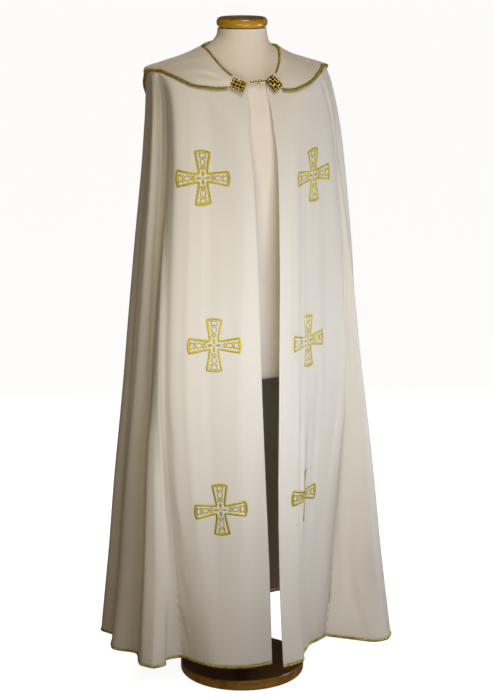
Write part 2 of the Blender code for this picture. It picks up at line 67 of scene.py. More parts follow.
# Rings of the cope from neck to hem, without folds: half width, depth in front and behind,
# height at the side, in front and behind, sideways shift, and how square the corner is.
Ring = namedtuple("Ring", "name side front back z_side z_front z_back shift corner")
COPE_RINGS = (
    Ring("neck", 0.090, 0.118, 0.078, 1.530, 1.455, 1.540, -0.005, 2.0),
    Ring("yoke", 0.130, 0.122, 0.092, 1.511, 1.437, 1.515, -0.012, 2.2),
    Ring("slope", 0.173, 0.128, 0.104, 1.498, 1.414, 1.484, -0.015, 2.4),
    Ring("tip", 0.213, 0.136, 0.115, 1.484, 1.387, 1.448, -0.0135, 2.5),
    Ring("over", 0.217, 0.143, 0.124, 1.458, 1.356, 1.408, -0.007, 2.5),
    Ring("arm", 0.229, 0.152, 0.136, 1.360, 1.300, 1.335, 0.003, 2.5),
    Ring("chest", 0.242, 0.162, 0.152, 1.235, 1.215, 1.230, 0.007, 2.4),
    Ring("waist", 0.262, 0.174, 0.176, 1.040, 1.030, 1.040, 0.008, 2.3),
    Ring("hip", 0.281, 0.187, 0.205, 0.800, 0.795, 0.800, 0.006, 2.2),
    Ring("thigh", 0.301, 0.198, 0.232, 0.550, 0.547, 0.550, 0.006, 2.1),
    Ring("shin", 0.319, 0.210, 0.257, 0.300, 0.299, 0.300, 0.008, 2.0),
    Ring("hem", 0.333, 0.222, 0.280, HEM_HEIGHT, HEM_HEIGHT, HEM_HEIGHT, 0.008, 2.0),
)
HEM_LEVEL = len(COPE_RINGS) - 1

# Fold lines that run from neck to hem, in order round the cope from the wearer's right front
# edge, past the right side, the back and the left side, to the left front edge.
# cape: the ring level that the capelet's edge lies on. angle: degrees from the front, falling
# as they go round by the right side, at the levels in ANGLE_ROWS. out: millimetres outside the
# rings, at the levels in OUT_ROWS.
Fold = namedtuple("Fold", "name cape angle out")
ANGLE_ROWS = (0, 2.5, 5, 8, 10, HEM_LEVEL)
OUT_ROWS = (2.5, 5, 8, 10, HEM_LEVEL)
FOLDS = (
    Fold("right edge", 0.5, (-9, -4.5, -11.5, -6, -1, 0), (0, 0, 0, -11, -15)),
    Fold("right roll", 0.9, (-24, -22, -21, -20, -18, -18), (0, 3, 3, -1, -4)),
    Fold("right dip", 1.9, (-38, -41, -41.5, -40.5, -36.5, -34), (0, -9, -7, -15, -13)),
    Fold("right swell", 2.5, (-52, -54, -53.5, -52, -46, -43.5), (0, 6, 9, -14, -31)),
    Fold("right turn", 2.5, (-64, -64, -60, -58, -53, -53), (0, 12, 13, -20, -55)),
    Fold("right seam", 2.5, (-72, -71, -66, -61.5, -58.5, -61.5), (0, 2, 10, -26, -73)),
    Fold("right foot", 2.5, (-76, -75, -71, -63.5, -61.5, -65.2), (0, -9, 9, -21, -46)),
    Fold("right crease", 2.52, (-78, -76, -73, -65, -62, -60.5), (0, -13, 10, -6, -8)),
    Fold("right gusset", 2.55, (-80, -77, -74.5, -67, -64.5, -62.5), (0, -16, 10, 8, 19)),
    Fold("right gusset back", 2.6, (-82, -77.7, -76, -70.5, -69.5, -67.5), (0, -18, 4, 9, 17)),
    Fold("right arm valley", 2.65, (-84, -78.5, -78, -77, -78, -81), (0, -20, -24, -30, -33)),
    Fold("right arm ridge", 2.8, (-87, -84, -81.5, -85.5, -91.5, -91), (0, 3, -6, -3, 5)),
    Fold("right side notch", 3.3, (-94, -93, -92, -91, -99, -104), (0, -2, -5, -6, -5)),
    Fold("right side ridge", 4.1, (-101, -101, -102, -100, -106, -112), (0, 3, 7, 24, 35)),
    Fold("right back dip", 4.7, (-113, -114, -116, -116, -120, -125), (0, -3, -9, -15, -18)),
    Fold("right back roll", 5.0, (-126, -127, -129, -130, -134, -138), (0, 3, 9, 18, 22)),
    Fold("right back hollow", 5.2, (-140, -141, -142, -144, -148, -151), (0, -3, -8, -14, -17)),
    Fold("right back fold", 5.3, (-153, -154, -155, -157, -161, -163), (0, 3, 9, 18, 24)),
    Fold("middle back", 5.4, (-174, -174, -174, -175, -176, -177), (0, -3, -9, -17, -22)),
    Fold("left back fold", 5.35, (-196, -196, -195, -194, -192, -191), (0, 3, 9, 17, 21)),
    Fold("left back hollow", 5.25, (-209, -209, -208, -207, -205, -204), (0, -3, -9, -17, -21)),
    Fold("left back roll", 5.1, (-222, -222, -221, -220, -218, -217), (0, 3, 9, 20, 26)),
    Fold("left back dip", 4.8, (-236, -236, -236, -235, -233, -231), (0, -3, -8, -15, -19)),
    Fold("left side ridge", 4.4, (-250, -250, -252, -252, -249, -246), (0, 3, 7, 17, 22)),
    Fold("left side notch", 3.7, (-262, -262, -262, -264, -263, -262), (0, -2, -5, -9, -12)),
    Fold("left arm ridge", 3.0, (-272, -273, -275, -271, -273, -275), (0, 3, 6, 10, 10)),
    Fold("left arm valley", 2.7, (-276, -279, -279, -275, -282, -283), (0, -16, -2, -10, -14)),
    Fold("left gusset back", 2.6, (-278, -281, -280, -278, -287, -288), (0, -18, 4, 33, 46)),
    Fold("left gusset", 2.55, (-280, -282, -281, -280, -291.5, -294), (0, -19, -7, 19, 51)),
    Fold("left crease", 2.52, (-282, -283, -282, -279, -290, -298.5), (0, -19, -22, -30, 18)),
    Fold("left foot", 2.5, (-284, -284, -283, -279, -286, -296.5), (0, -17, -32, -67, -46)),
    Fold("left seam", 2.5, (-288, -288, -285, -280.5, -287.5, -294), (0, -13, -36, -87, -102)),
    Fold("left turn", 2.5, (-296, -297, -292, -285.5, -299, -312), (0, -18, -51, -91, -90)),
    Fold("left swell", 2.6, (-306, -306, -304, -297, -314, -321.5), (0, -23, -63, -70, -70)),
    Fold("left dip", 2.4, (-320, -318, -321, -316.5, -329.5, -334), (0, -12, -46, -37, -34)),
    Fold("left roll", 1.3, (-333, -333, -337, -336, -343, -341.5), (0, 3, -15, -3, 1)),
    Fold("left edge", 0.5, (-346, -343, -348.5, -353.5, -356.5, -355.5), (0, 1, 9, 15, 17)),
)
RIGHT_SEAM, LEFT_SEAM = 5, 31   # rows of FOLDS that the seams lie on
LEFT_EDGE = len(FOLDS) - 1
FOLD_ANGLES = np.radians([fold.angle for fold in FOLDS]).T
FOLD_OUTS = np.array([fold.out for fold in FOLDS]).T / 1000
CAPE_LEVELS = np.array([[fold.cape] for fold in FOLDS])
RING_VALUES = np.array([ring[1:] for ring in COPE_RINGS])


def flow(stations, table, where):
    """Smooth curve through a table's rows, one row for each station, that never overshoots."""
    stations = np.asarray(stations, float)
    where = np.clip(where, stations[0], stations[-1])
    gap = np.diff(stations)[:, None]
    rise = np.diff(table, axis=0) / gap
    slope = np.vstack([rise[:1], np.zeros_like(table[1:-1]), rise[-1:]])
    same_way = rise[:-1] * rise[1:] > 0
    before, after = 2 * gap[1:] + gap[:-1], gap[1:] + 2 * gap[:-1]
    low_rise = np.where(same_way, rise[:-1], 1.0)
    high_rise = np.where(same_way, rise[1:], 1.0)
    mean = (before + after) / (before / low_rise + after / high_rise)
    slope[1:-1] = np.where(same_way, mean, 0.0)
    row = np.clip(np.searchsorted(stations, where, side="right") - 1, 0, len(stations) - 2)
    t = ((where - stations[row]) / gap[row, 0])[:, None]
    start = table[row] * (1 + 2 * t) + slope[row] * gap[row] * t
    end = table[row + 1] * (3 - 2 * t) - slope[row + 1] * gap[row] * (1 - t)
    return start * (1 - t) ** 2 + end * t ** 2


def ring_point(level, angle, out):
    """Points on the rings at a level, an angle from the front and a distance outside them."""
    side, front, back, z_side, z_front, z_back, shift, corner = flow(
        range(len(COPE_RINGS)), RING_VALUES, level).T
    sine, cosine = np.sin(angle), np.cos(angle)
    depth = np.where(cosine > 0, front, back)
    z_end = np.where(cosine > 0, z_front, z_back)
    reach = (np.abs(sine / side) ** corner + np.abs(cosine / depth) ** corner) ** (-1 / corner)
    return np.column_stack([
        shift + (reach + out) * sine,
        -(reach + out) * cosine,
        z_side + (z_end - z_side) * cosine ** 2,
    ])


def across_folds(table, across):
    """A row of values for each fold, read at a place between two folds."""
    return flow(range(len(FOLDS)), table, np.array([across]))[0]


def cope_column(across, levels):
    """Points of the cope's outer side down one line, at a place across the folds."""
    angle = across_folds(flow(ANGLE_ROWS, FOLD_ANGLES, levels).T, across)
    out = across_folds(flow(OUT_ROWS, FOLD_OUTS, levels).T, across)
    return ring_point(levels, angle, out)


def cape_level(across):
    """The level of the capelet's outer edge at a place across the folds."""
    return across_folds(CAPE_LEVELS, across)[0]


def directions(points):
    """Unit directions over a grid of points: outward, along the folds' order, and down."""
    along, down = np.gradient(points, axis=0), np.gradient(points, axis=1)
    outward = np.cross(along, down)
    return [v / np.linalg.norm(v, axis=2)[..., None] for v in (outward, along, down)]


def smooth_step(value):
    """From 0 to 1 as the value goes from 0 to 1, level at both ends."""
    value = np.clip(value, 0, 1)
    return value * value * (3 - 2 * value)


# Soft troughs and ridges pressed or hung into the cloth: where each starts and ends, as a place
# across the folds and a ring level, then half its width and its height in millimetres.
Crease = namedtuple("Crease", "across level to_across to_level wide high")
COPE_CREASES = (
    Crease(0.4, 4.6, 1.1, 8.6, 22, 1.6), Crease(1.5, 5.0, 1.3, 10.4, 26, -1.6),
    Crease(2.6, 3.4, 2.2, 9.5, 16, 1.8), Crease(3.4, 5.8, 3.1, 11.4, 15, -1.5),
    Crease(0.1, 8.84, 1.5, 8.72, 4, 0.7), Crease(0.3, 8.78, 2.1, 8.70, 5, -0.6),
    Crease(0.9, 9.75, 0.3, 9.95, 5, 0.8), Crease(1.3, 9.60, 0.5, 9.88, 6, -0.7),
    Crease(4.4, 9.0, 3.9, 9.6, 7, 0.9), Crease(4.6, 9.9, 3.9, 10.3, 7, -1.1),
    Crease(4.7, 10.25, 4.2, 10.5, 6, 1.2), Crease(4.8, 10.5, 4.1, 10.9, 7, -1.4),
    Crease(4.75, 10.75, 4.3, 11.2, 6, 1.0), Crease(4.7, 8.3, 4.2, 8.8, 8, -0.7),
    Crease(31.3, 8.1, 32.2, 8.5, 6, 1.1), Crease(31.2, 8.35, 32.0, 8.8, 6, -1.2),
    Crease(31.3, 8.6, 31.9, 9.0, 6, 1.0), Crease(30.6, 8.4, 31.0, 8.9, 6, 0.9),
    Crease(31.2, 9.3, 31.8, 9.6, 6, -0.9), Crease(31.2, 10.0, 31.9, 10.5, 7, 1.0),
    Crease(30.2, 9.4, 29.6, 10.8, 16, -2.0), Crease(29.2, 7.0, 29.0, 10.9, 18, 1.8),
    Crease(28.4, 5.6, 28.2, 9.6, 16, -1.4), Crease(33.4, 6.2, 33.2, 11.2, 14, 1.6),
    Crease(9.4, 2.8, 9.1, 8.6, 14, -18.0), Crease(6.4, 6.5, 6.6, 9.0, 15, 4.5),
    Crease(10.35, 2.8, 10.05, 8.6, 8, 7.0), Crease(34.58, 8.4, 34.58, 10.1, 15, 7.0),
    Crease(34.02, 8.4, 34.02, 10.1, 15, -7.0), Crease(32.2, 3.2, 30.9, 7.6, 5, -7.0),
    Crease(29.3, 8.6, 29.35, 11.05, 21, -9.0), Crease(35.0, 8.0, 35.0, 10.6, 17, 5.5),
    Crease(33.55, 8.0, 33.6, 10.6, 17, -5.5), Crease(34.4, 5.2, 34.8, 9.4, 18, -1.5),
    Crease(35.3, 6.0, 35.5, 10.8, 14, 1.2), Crease(8.6, 6.2, 8.8, 10.6, 11, 1.3),
    Crease(9.6, 8.4, 9.4, 11.3, 9, -1.2), Crease(11.6, 5.4, 11.9, 9.2, 15, 1.7),
    Crease(13.3, 7.2, 13.1, 11.0, 16, -1.8), Crease(14.5, 5.8, 14.9, 8.9, 18, 1.7),
    Crease(15.6, 8.0, 15.4, 11.2, 15, 1.4), Crease(16.4, 6.1, 16.7, 9.4, 18, -1.6),
    Crease(17.5, 7.9, 17.3, 10.9, 15, 1.5), Crease(18.7, 6.3, 18.4, 10.0, 17, 1.6),
    Crease(19.5, 7.3, 19.8, 11.1, 16, -1.7), Crease(21.0, 6.0, 20.7, 8.7, 17, 1.5),
    Crease(21.7, 8.3, 21.9, 11.2, 15, -1.4), Crease(23.2, 6.6, 23.0, 10.2, 18, 1.8),
    Crease(24.7, 5.6, 24.9, 9.9, 15, -1.5), Crease(25.8, 7.1, 26.1, 10.8, 13, 1.3),
)
CREASE_ENDS = 0.7           # how bluntly a crease runs out at its ends
UNEVEN_HIGH = 1.3           # millimetres, how far the hanging cloth wanders
UNEVEN_WIDE = 0.16          # metres from one wander to the next across the cloth
UNEVEN_STRETCH = 5          # how many times longer a wander is down the cloth


def cloth_per_step(points, places, axis):
    """Metres of cloth for each step of the places along one axis of a grid of points."""
    return np.linalg.norm(np.gradient(points, axis=axis), axis=2) / np.gradient(places, axis=axis)


def crease_heights(points, across, levels, creases):
    """Millimetres that the creases raise the points of a grid."""
    wide, tall = cloth_per_step(points, across, 0), cloth_per_step(points, levels, 1)
    heights = np.zeros(across.shape)
    for crease in creases:
        run = (crease.to_across - crease.across) * wide, (crease.to_level - crease.level) * tall
        here = (across - crease.across) * wide, (levels - crease.level) * tall
        length = np.hypot(*run)
        share = np.clip((here[0] * run[0] + here[1] * run[1]) / length ** 2, 0, 1)
        aside = (here[0] * run[1] - here[1] * run[0]) / length * 1000
        ends = np.sin(math.pi * share) ** CREASE_ENDS
        heights += crease.high * ends * np.exp(-(aside / crease.wide) ** 2)
    return heights


def unevenness(points, seed):
    """From -1 to 1 over a grid of points: a slow wander, drawn out along the fall of the cloth."""
    scaled = points.reshape(-1, 3) / UNEVEN_WIDE / (1, 1, UNEVEN_STRETCH) + (0, 0, seed)
    return np.array([noise.noise(Vector(place)) for place in scaled]).reshape(points.shape[:2])


def lengths(points, axis):
    """Length along a grid's rows or columns from its first point, in metres."""
    steps = np.linalg.norm(np.diff(points, axis=axis), axis=2)
    start = np.zeros_like(np.take(steps, [0], axis=axis))
    return np.concatenate([start, np.cumsum(steps, axis=axis)], axis=axis)


# Puckers that the sewing draws up, in millimetres. Slow waves make their spacing uneven.
SEAM_PUCKER = 22.0          # from one pucker to the next along a seam
SEAM_SLANT = 0.8            # how far a pucker rises for each millimetre away from the seam
SEAM_REACH = 13.0           # how far puckers reach from the seam
SEAM_DRIFTS = ((2.2, 61), (1.3, 23))   # each wave's shift in radians, and its length over tau
HEM_PUCKERS_EACH_FOLD = 3.7
HEM_PUCKER_HIGH = 0.45
HEM_REACH = 12.0
HEM_DRIFT, HEM_DRIFTS_EACH_FOLD = 2.5, 4.1
PUCKER_TOP, PUCKER_FADE = 4.2, 1.5     # level where puckers begin, and levels to full height
CAPE_FADE = 0.5             # levels below the capelet's edge over which creases begin

# How high the puckers stand beside each seam: at the top, how much more low down, the level
# where that growth begins and the levels that it takes.
Sewing = namedtuple("Sewing", "seam high more level levels")
SEWING = (
    Sewing(RIGHT_SEAM, 0.25, 0.6, 9, 1.5),
    Sewing(LEFT_SEAM, 0.35, 0.4, 7, 1.2),
)


def seam_puckers(points, across, levels, sewing):
    """Millimetres of the slanting puckers that the sewing leaves beside a seam."""
    aside = np.abs(across - sewing.seam) * cloth_per_step(points, across, 0) * 1000
    height = points[..., 2] * 1000
    turn = 2 * math.pi * (height - SEAM_SLANT * aside) / SEAM_PUCKER
    for drift, pace in SEAM_DRIFTS:
        turn += drift * np.sin(height / pace)
    high = sewing.high + sewing.more * smooth_step((levels - sewing.level) / sewing.levels)
    high *= smooth_step((levels - PUCKER_TOP) / PUCKER_FADE)
    return high * np.sin(turn) * np.exp(-aside / SEAM_REACH)


def hem_puckers(points, across):
    """Millimetres of the short upright puckers over the braid at the hem."""
    above = (points[..., 2] - HEM_HEIGHT) * 1000
    turn = 2 * math.pi * across * HEM_PUCKERS_EACH_FOLD
    turn += HEM_DRIFT * np.sin(across * HEM_DRIFTS_EACH_FOLD)
    return HEM_PUCKER_HIGH * np.sin(turn) * np.exp(-above / HEM_REACH)


def cope_surface(places, rows_of, seed):
    """The cope's outer side with its creases and puckers, a column for each place."""
    levels = np.array([rows_of(across) for across in places])
    points = np.array([cope_column(across, row) for across, row in zip(places, levels)])
    across = np.repeat(np.array(places, float)[:, None], levels.shape[1], axis=1)
    heights = crease_heights(points, across, levels, COPE_CREASES)
    heights += UNEVEN_HIGH * unevenness(points, seed)
    for sewing in SEWING:
        heights += seam_puckers(points, across, levels, sewing)
    heights += hem_puckers(points, across)
    cape_edge = np.array([[cape_level(place)] for place in places])
    heights *= smooth_step((levels - cape_edge) / CAPE_FADE)
    return points + directions(points)[0] * heights[..., None] / 1000


def add_mesh(name, mesh, material):
    """An object at the origin from a mesh, shaded smooth, in one material."""
    mesh.shade_smooth()
    mesh.materials.append(material)
    made = bpy.data.objects.new(name, mesh)
    bpy.context.scene.collection.objects.link(made)
    return made


def add_sheet(name, points, outward, along, down, material):
    """A closed wall of cloth under a grid of points, its edges rounded, mapped in metres."""
    columns, rows = points.shape[:2]
    count = columns * rows
    flat = np.stack([lengths(points, 0), lengths(points, 1)], axis=2)
    ring = ([(i, 0) for i in range(columns)] + [(columns - 1, j) for j in range(1, rows)]
            + [(i, rows - 1) for i in range(columns - 2, -1, -1)]
            + [(0, j) for j in range(rows - 2, 0, -1)])
    rim = []
    for i, j in ring:
        away = along[i, j] * ((i == columns - 1) - (i == 0))
        away += down[i, j] * ((j == rows - 1) - (j == 0))
        rim.append(points[i, j] + (away - outward[i, j]) * CLOTH_WALL / 2)
    under = points - outward * CLOTH_WALL
    vertices = np.concatenate([points.reshape(-1, 3), under.reshape(-1, 3), rim])
    index = np.arange(count).reshape(columns, rows)
    quads = np.stack([index[:-1, :-1], index[1:, :-1], index[1:, 1:], index[:-1, 1:]], axis=2)
    quads = quads.reshape(-1, 4)
    top = np.array([i * rows + j for i, j in ring])
    after, middle = np.roll(top, -1), np.arange(len(ring)) + 2 * count
    next_middle = np.roll(middle, -1)
    faces = np.concatenate([
        quads, quads[:, ::-1] + count,
        np.column_stack([after, top, middle, next_middle]),
        np.column_stack([next_middle, middle, top + count, after + count])])
    mesh = bpy.data.meshes.new(name)
    mesh.from_pydata(vertices.tolist(), [], faces.tolist())
    flat_rim = [flat[i, j] for i, j in ring]
    mapped = np.concatenate([flat.reshape(-1, 2), flat.reshape(-1, 2), flat_rim])
    uv = mesh.uv_layers.new(name="cloth")
    uv.data.foreach_set("uv", mapped[faces.ravel()].ravel())
    return add_mesh(name, mesh, material)


HELD_SHARES = (1, 0.75, 0.5, 0.25)      # how the columns next to an edge share its move


def held_back(points, along, by):
    """The grid with its two long edges moved in by a distance."""
    moved = points.copy()
    for step, share in enumerate(HELD_SHARES):
        moved[step] += along[step] * by * share
        moved[-1 - step] -= along[-1 - step] * by * share
    return moved


LOWER_ROWS = 230            # rows of points from the capelet's edge to the hem
CAPE_ROWS = 24              # and under the capelet
EDGE_SPACING = 0.6          # rows at the capelet's edge and the hem, against the mean spacing


def cope_rows(across):
    """Levels of the cope's points down one line, closer at the capelet's edge and the hem."""
    edge = cape_level(across)
    share = np.linspace(0, 1, LOWER_ROWS + 1)[1:]
    share = share - np.sin(2 * math.pi * share) / (2 * math.pi) * (1 - EDGE_SPACING)
    return np.append(np.linspace(0, edge, CAPE_ROWS + 1), edge + (HEM_LEVEL - edge) * share)


def linear(hex_colour):
    """An sRGB hex colour as the linear RGBA that shaders take."""
    channels = [int(hex_colour[i:i + 2], 16) / 255 for i in (1, 3, 5)]
    return [c / 12.92 if c <= 0.04045 else ((c + 0.055) / 1.055) ** 2.4 for c in channels] + [1.0]


def feed(tree, node, inputs):
    """Gives a node its inputs: each is a value, or the output that feeds it."""
    for name, value in inputs.items():
        if isinstance(value, bpy.types.NodeSocket):
            tree.links.new(value, node.inputs[name])
        else:
            node.inputs[name].default_value = value


def add_node(tree, kind, inputs=None, stops=(), **settings):
    """Adds a node with its settings and links; stops are a colour ramp's places and colours."""
    made = tree.nodes.new("ShaderNode" + kind)
    for name, value in settings.items():
        setattr(made, name, value)
    feed(tree, made, inputs or {})
    for index, (stop, hex_colour) in enumerate(stops):
        made.color_ramp.elements[index].position = stop
        made.color_ramp.elements[index].color = linear(hex_colour)
    return made


def new_material(name):
    """A material and its tree, with a Principled shader ready to be fed."""
    made = bpy.data.materials.new(name)
    made.use_nodes = True
    return made, made.node_tree, made.node_tree.nodes["Principled BSDF"]


# Gabardine: fine steep twill ribs, matt, with a soft bloom where the light grazes it.
TWILL_PITCH = 0.000691      # rib spacing, drawn twice as coarse so that it shows close by
TWILL_SLOPE = 58            # degrees
WAVE_LENGTH = math.tau / 20             # one band of a wave texture at scale 1
# Cells of noise to a metre, across the yarns and along them, coarser than yarns so that they show.
YARN_CELLS = (900, 220, 1)
CREAM_GABARDINE, tree, shader = new_material("cream wool gabardine")
cloth_uv = add_node(tree, "TexCoord").outputs["UV"]
twill_lie = add_node(tree, "Mapping", {
    "Vector": cloth_uv, "Rotation": (0, 0, math.radians(TWILL_SLOPE)),
    "Scale": (1 / TWILL_PITCH, 1 / TWILL_PITCH, 1)})
twill = add_node(tree, "TexWave", {
    "Vector": twill_lie.outputs["Vector"], "Scale": WAVE_LENGTH, "Distortion": 0.4, "Detail": 1.0})
yarn_lie = add_node(tree, "Mapping", {"Vector": cloth_uv, "Scale": YARN_CELLS})
yarns = add_node(tree, "TexNoise", {
    "Vector": yarn_lie.outputs["Vector"], "Scale": 1.0, "Detail": 2.0})
weave = add_node(tree, "Math", {0: twill.outputs["Fac"], 1: yarns.outputs["Fac"]}, operation="ADD")
weave_bump = add_node(tree, "Bump", {
    "Height": weave.outputs["Value"], "Strength": 0.35, "Distance": 0.00025})
place = add_node(tree, "TexCoord").outputs["Object"]
cloud = add_node(tree, "TexNoise", {
    "Vector": place, "Scale": 7.0, "Detail": 3.0, "Roughness": 0.55}).outputs["Fac"]
tint = add_node(tree, "MixRGB", {
    "Fac": cloud, "Color1": linear("#E6E1D6"), "Color2": linear("#EDE9E0")})
gloss = add_node(tree, "MapRange", {"Value": cloud, "To Min": 0.60, "To Max": 0.74})
feed(tree, shader, {
    "Base Color": tint.outputs["Color"], "Roughness": gloss.outputs["Result"],
    "Normal": weave_bump.outputs["Normal"], "Specular IOR Level": 0.32, "Sheen Weight": 0.18,
    "Sheen Roughness": 0.45, "Sheen Tint": linear("#FFFAF0")})


def places_between(first, last, per_fold):
    """Even places across the folds, about so many to each fold."""
    return np.linspace(first, last, int(round((last - first) * per_fold)) + 1)


FRONT_PER_FOLD, BODY_PER_FOLD = 17, 7.3     # columns of points to each fold
SEAM_BITE = 0.001           # how far a rounded edge is pressed into the next one


def add_cope_piece(name, first, last, per_fold, seed):
    """One piece of the cope, its long edges pressed a little into its neighbours by the seams."""
    points = cope_surface(places_between(first, last, per_fold), cope_rows, seed)
    outward, along, down = directions(points)
    points = held_back(points, along, CLOTH_WALL / 2 - SEAM_BITE)
    points[:, -1] -= down[:, -1] * CLOTH_WALL / 2
    return add_sheet(name, points, outward, along, down, CREAM_GABARDINE)


# Each piece's unevenness is read from another part of the noise.
RIGHT_FRONT_SEED, LEFT_FRONT_SEED, BODY_SEED = 0.0, 3.7, 8.1
right_front = add_cope_piece("right_front_cloth", 0, RIGHT_SEAM, FRONT_PER_FOLD, RIGHT_FRONT_SEED)
left_front = add_cope_piece("left_front_cloth", LEFT_SEAM, LEFT_EDGE, FRONT_PER_FOLD,
                            LEFT_FRONT_SEED)
body_cloth = add_cope_piece("body_cloth", RIGHT_SEAM, LEFT_SEAM, BODY_PER_FOLD, BODY_SEED)
for cloth, node, flat, area in ((right_front, "cope_front_right", (0.27, 1.42), 0.322),
                                (left_front, "cope_front_left", (0.27, 1.42), 0.322),
                                (body_cloth, "cope_body", (2.2, 1.45), 1.66)):
    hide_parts(node)
    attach(cloth, "root")

# ---------------------------------------------------------------- capelet
# A short shoulder cape of the same cream in a satin weave, cut in one piece from clasp to
# clasp round the neck; it lies on the cope's shoulders and hangs deeper behind.
CAPE_START, CAPE_END = 0.95, LEFT_EDGE - 1.0    # places across the folds
CAPE_PER_FOLD = 7
CAPELET_ROWS = 64
CAPE_LIFT = 0.0012          # inner side above the cope
CAPE_UNEVEN_HIGH = 0.7      # millimetres, how far the cloth wanders, and the most that it sinks
CAPE_UNEVEN_FINER = 1.8     # how many times closer the wanders lie than on the cope
CAPE_SEED = 5.3
NECK_FLAT, EDGE_FLAT = 0.12, 0.10      # shares of its depth that lie flat at its two edges
CAPE_CREASES = (
    Crease(3.2, 0.10, 7.4, 1.55, 9, 1.4), Crease(4.4, 0.20, 9.4, 1.20, 8, -1.1),
    Crease(2.4, 0.55, 4.6, 1.95, 11, 1.3), Crease(1.6, 0.60, 3.4, 1.50, 8, -1.0),
    Crease(9.5, 0.15, 12.5, 2.20, 12, 1.3), Crease(6.2, 1.30, 8.4, 2.35, 7, 1.0),
    Crease(34.6, 0.62, 32.2, 1.45, 8, -1.6), Crease(34.2, 0.80, 31.2, 1.95, 9, 1.5),
    Crease(33.6, 0.20, 29.4, 1.30, 10, 1.2), Crease(31.6, 0.10, 27.2, 1.75, 9, -1.1),
    Crease(29.8, 1.20, 28.0, 2.30, 7, 1.0), Crease(26.8, 0.20, 24.2, 2.60, 13, 1.2),
    Crease(15.2, 0.30, 14.6, 4.30, 16, 1.4), Crease(17.4, 0.50, 17.0, 4.90, 17, -1.3),
    Crease(19.6, 0.40, 19.9, 4.60, 15, 1.5), Crease(22.2, 0.40, 22.6, 4.00, 16, -1.2),
)

cape_places = places_between(CAPE_START, CAPE_END, CAPE_PER_FOLD)
cape_levels = np.array([np.linspace(0, cape_level(across), CAPELET_ROWS + 1)
                        for across in cape_places])
cape_points = np.array([cope_column(across, row) for across, row in zip(cape_places, cape_levels)])
cape_across = np.repeat(cape_places[:, None], CAPELET_ROWS + 1, axis=1)
cape_heights = crease_heights(cape_points, cape_across, cape_levels, CAPE_CREASES)
cape_heights += CAPE_UNEVEN_HIGH * unevenness(cape_points * CAPE_UNEVEN_FINER, CAPE_SEED)
share_down = cape_levels / cape_levels[:, -1:]
loose = smooth_step(share_down / NECK_FLAT) * smooth_step((1 - share_down) / EDGE_FLAT)
cape_heights = np.maximum(cape_heights * loose, -CAPE_UNEVEN_HIGH) / 1000
cape_heights += CAPE_LIFT + CLOTH_WALL
cape_points = cape_points + directions(cape_points)[0] * cape_heights[..., None]
outward, along, down = directions(cape_points)
cape_points = held_back(cape_points, along, CLOTH_WALL / 2)
cape_points[:, 0] += down[:, 0] * CLOTH_WALL / 2
cape_points[:, -1] -= down[:, -1] * CLOTH_WALL / 2

# Satin: long floats lie smooth and give a broad silky gleam.
# Cells of noise to a metre, across the floats and along them, coarser than floats are.
FLOAT_CELLS = (1500, 260, 1)
CREAM_SATIN, tree, shader = new_material("cream satin")
cloth_uv = add_node(tree, "TexCoord").outputs["UV"]
float_lie = add_node(tree, "Mapping", {"Vector": cloth_uv, "Scale": FLOAT_CELLS})
floats = add_node(tree, "TexNoise", {
    "Vector": float_lie.outputs["Vector"], "Scale": 1.0, "Detail": 2.0})
float_bump = add_node(tree, "Bump", {
    "Height": floats.outputs["Fac"], "Strength": 0.3, "Distance": 0.0002})
place = add_node(tree, "TexCoord").outputs["Object"]
cloud = add_node(tree, "TexNoise", {"Vector": place, "Scale": 11.0, "Detail": 3.0}).outputs["Fac"]
tint = add_node(tree, "MixRGB", {
    "Fac": cloud, "Color1": linear("#E6DFD2"), "Color2": linear("#EEE9DF")})
gloss = add_node(tree, "MapRange", {"Value": cloud, "To Min": 0.36, "To Max": 0.46})
feed(tree, shader, {
    "Base Color": tint.outputs["Color"], "Roughness": gloss.outputs["Result"],
    "Normal": float_bump.outputs["Normal"], "Specular IOR Level": 0.5, "Sheen Weight": 0.15,
    "Sheen Roughness": 0.35})
capelet = add_sheet("capelet_cloth", cape_points, outward, along, down, CREAM_SATIN)
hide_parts("capelet")
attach(capelet, "root")

# ---------------------------------------------------------------- braids
# Round braid of three twisted metallic strands, sewn on edge: one length binds the capelet's
# neck, one its outer edge, and one runs round the whole hem.
BRAID_HIGH = 0.0030         # half its height off the cloth
BRAID_WIDE = 0.0038         # and half its width
BRAID_SEAT = 0.0030         # from the edge of the cloth to the middle of the braid
ROUTE_PER_FOLD = 12         # places across each fold where a braid's route is worked out
NEARBY = 0.02               # folds to each side, between which a braid's direction is taken
TWIST_PITCH = 0.0095        # along the braid for one turn
STRANDS = 3
STRAND_SHARE = 0.52         # a strand's radius as a share of the braid's
STRAND_SIDES = 6
STEPS_EACH_TURN = 8
SEWN_GAP = 0.0003           # between two solid parts that are sewn or hooked together
NECK_BRAID_LIFT = 0.0012    # above the cope's outer side
CAPE_BRAID_LIFT = BRAID_HIGH + 3 * SEWN_GAP
BRAID_START = 1.26          # places across the folds where the braids end, under the plates
NECK_BRAID_END, CAPE_BRAID_END = LEFT_EDGE - 1.45, LEFT_EDGE - 1.30
# How far off the slope of the cloth is taken: shares of the way from the neck to the capelet's
# edge and from there to the hem, and levels above the hem.
NECK_NEAR, CAPE_NEAR, HEM_NEAR = 1 / 6, 0.03, 0.3


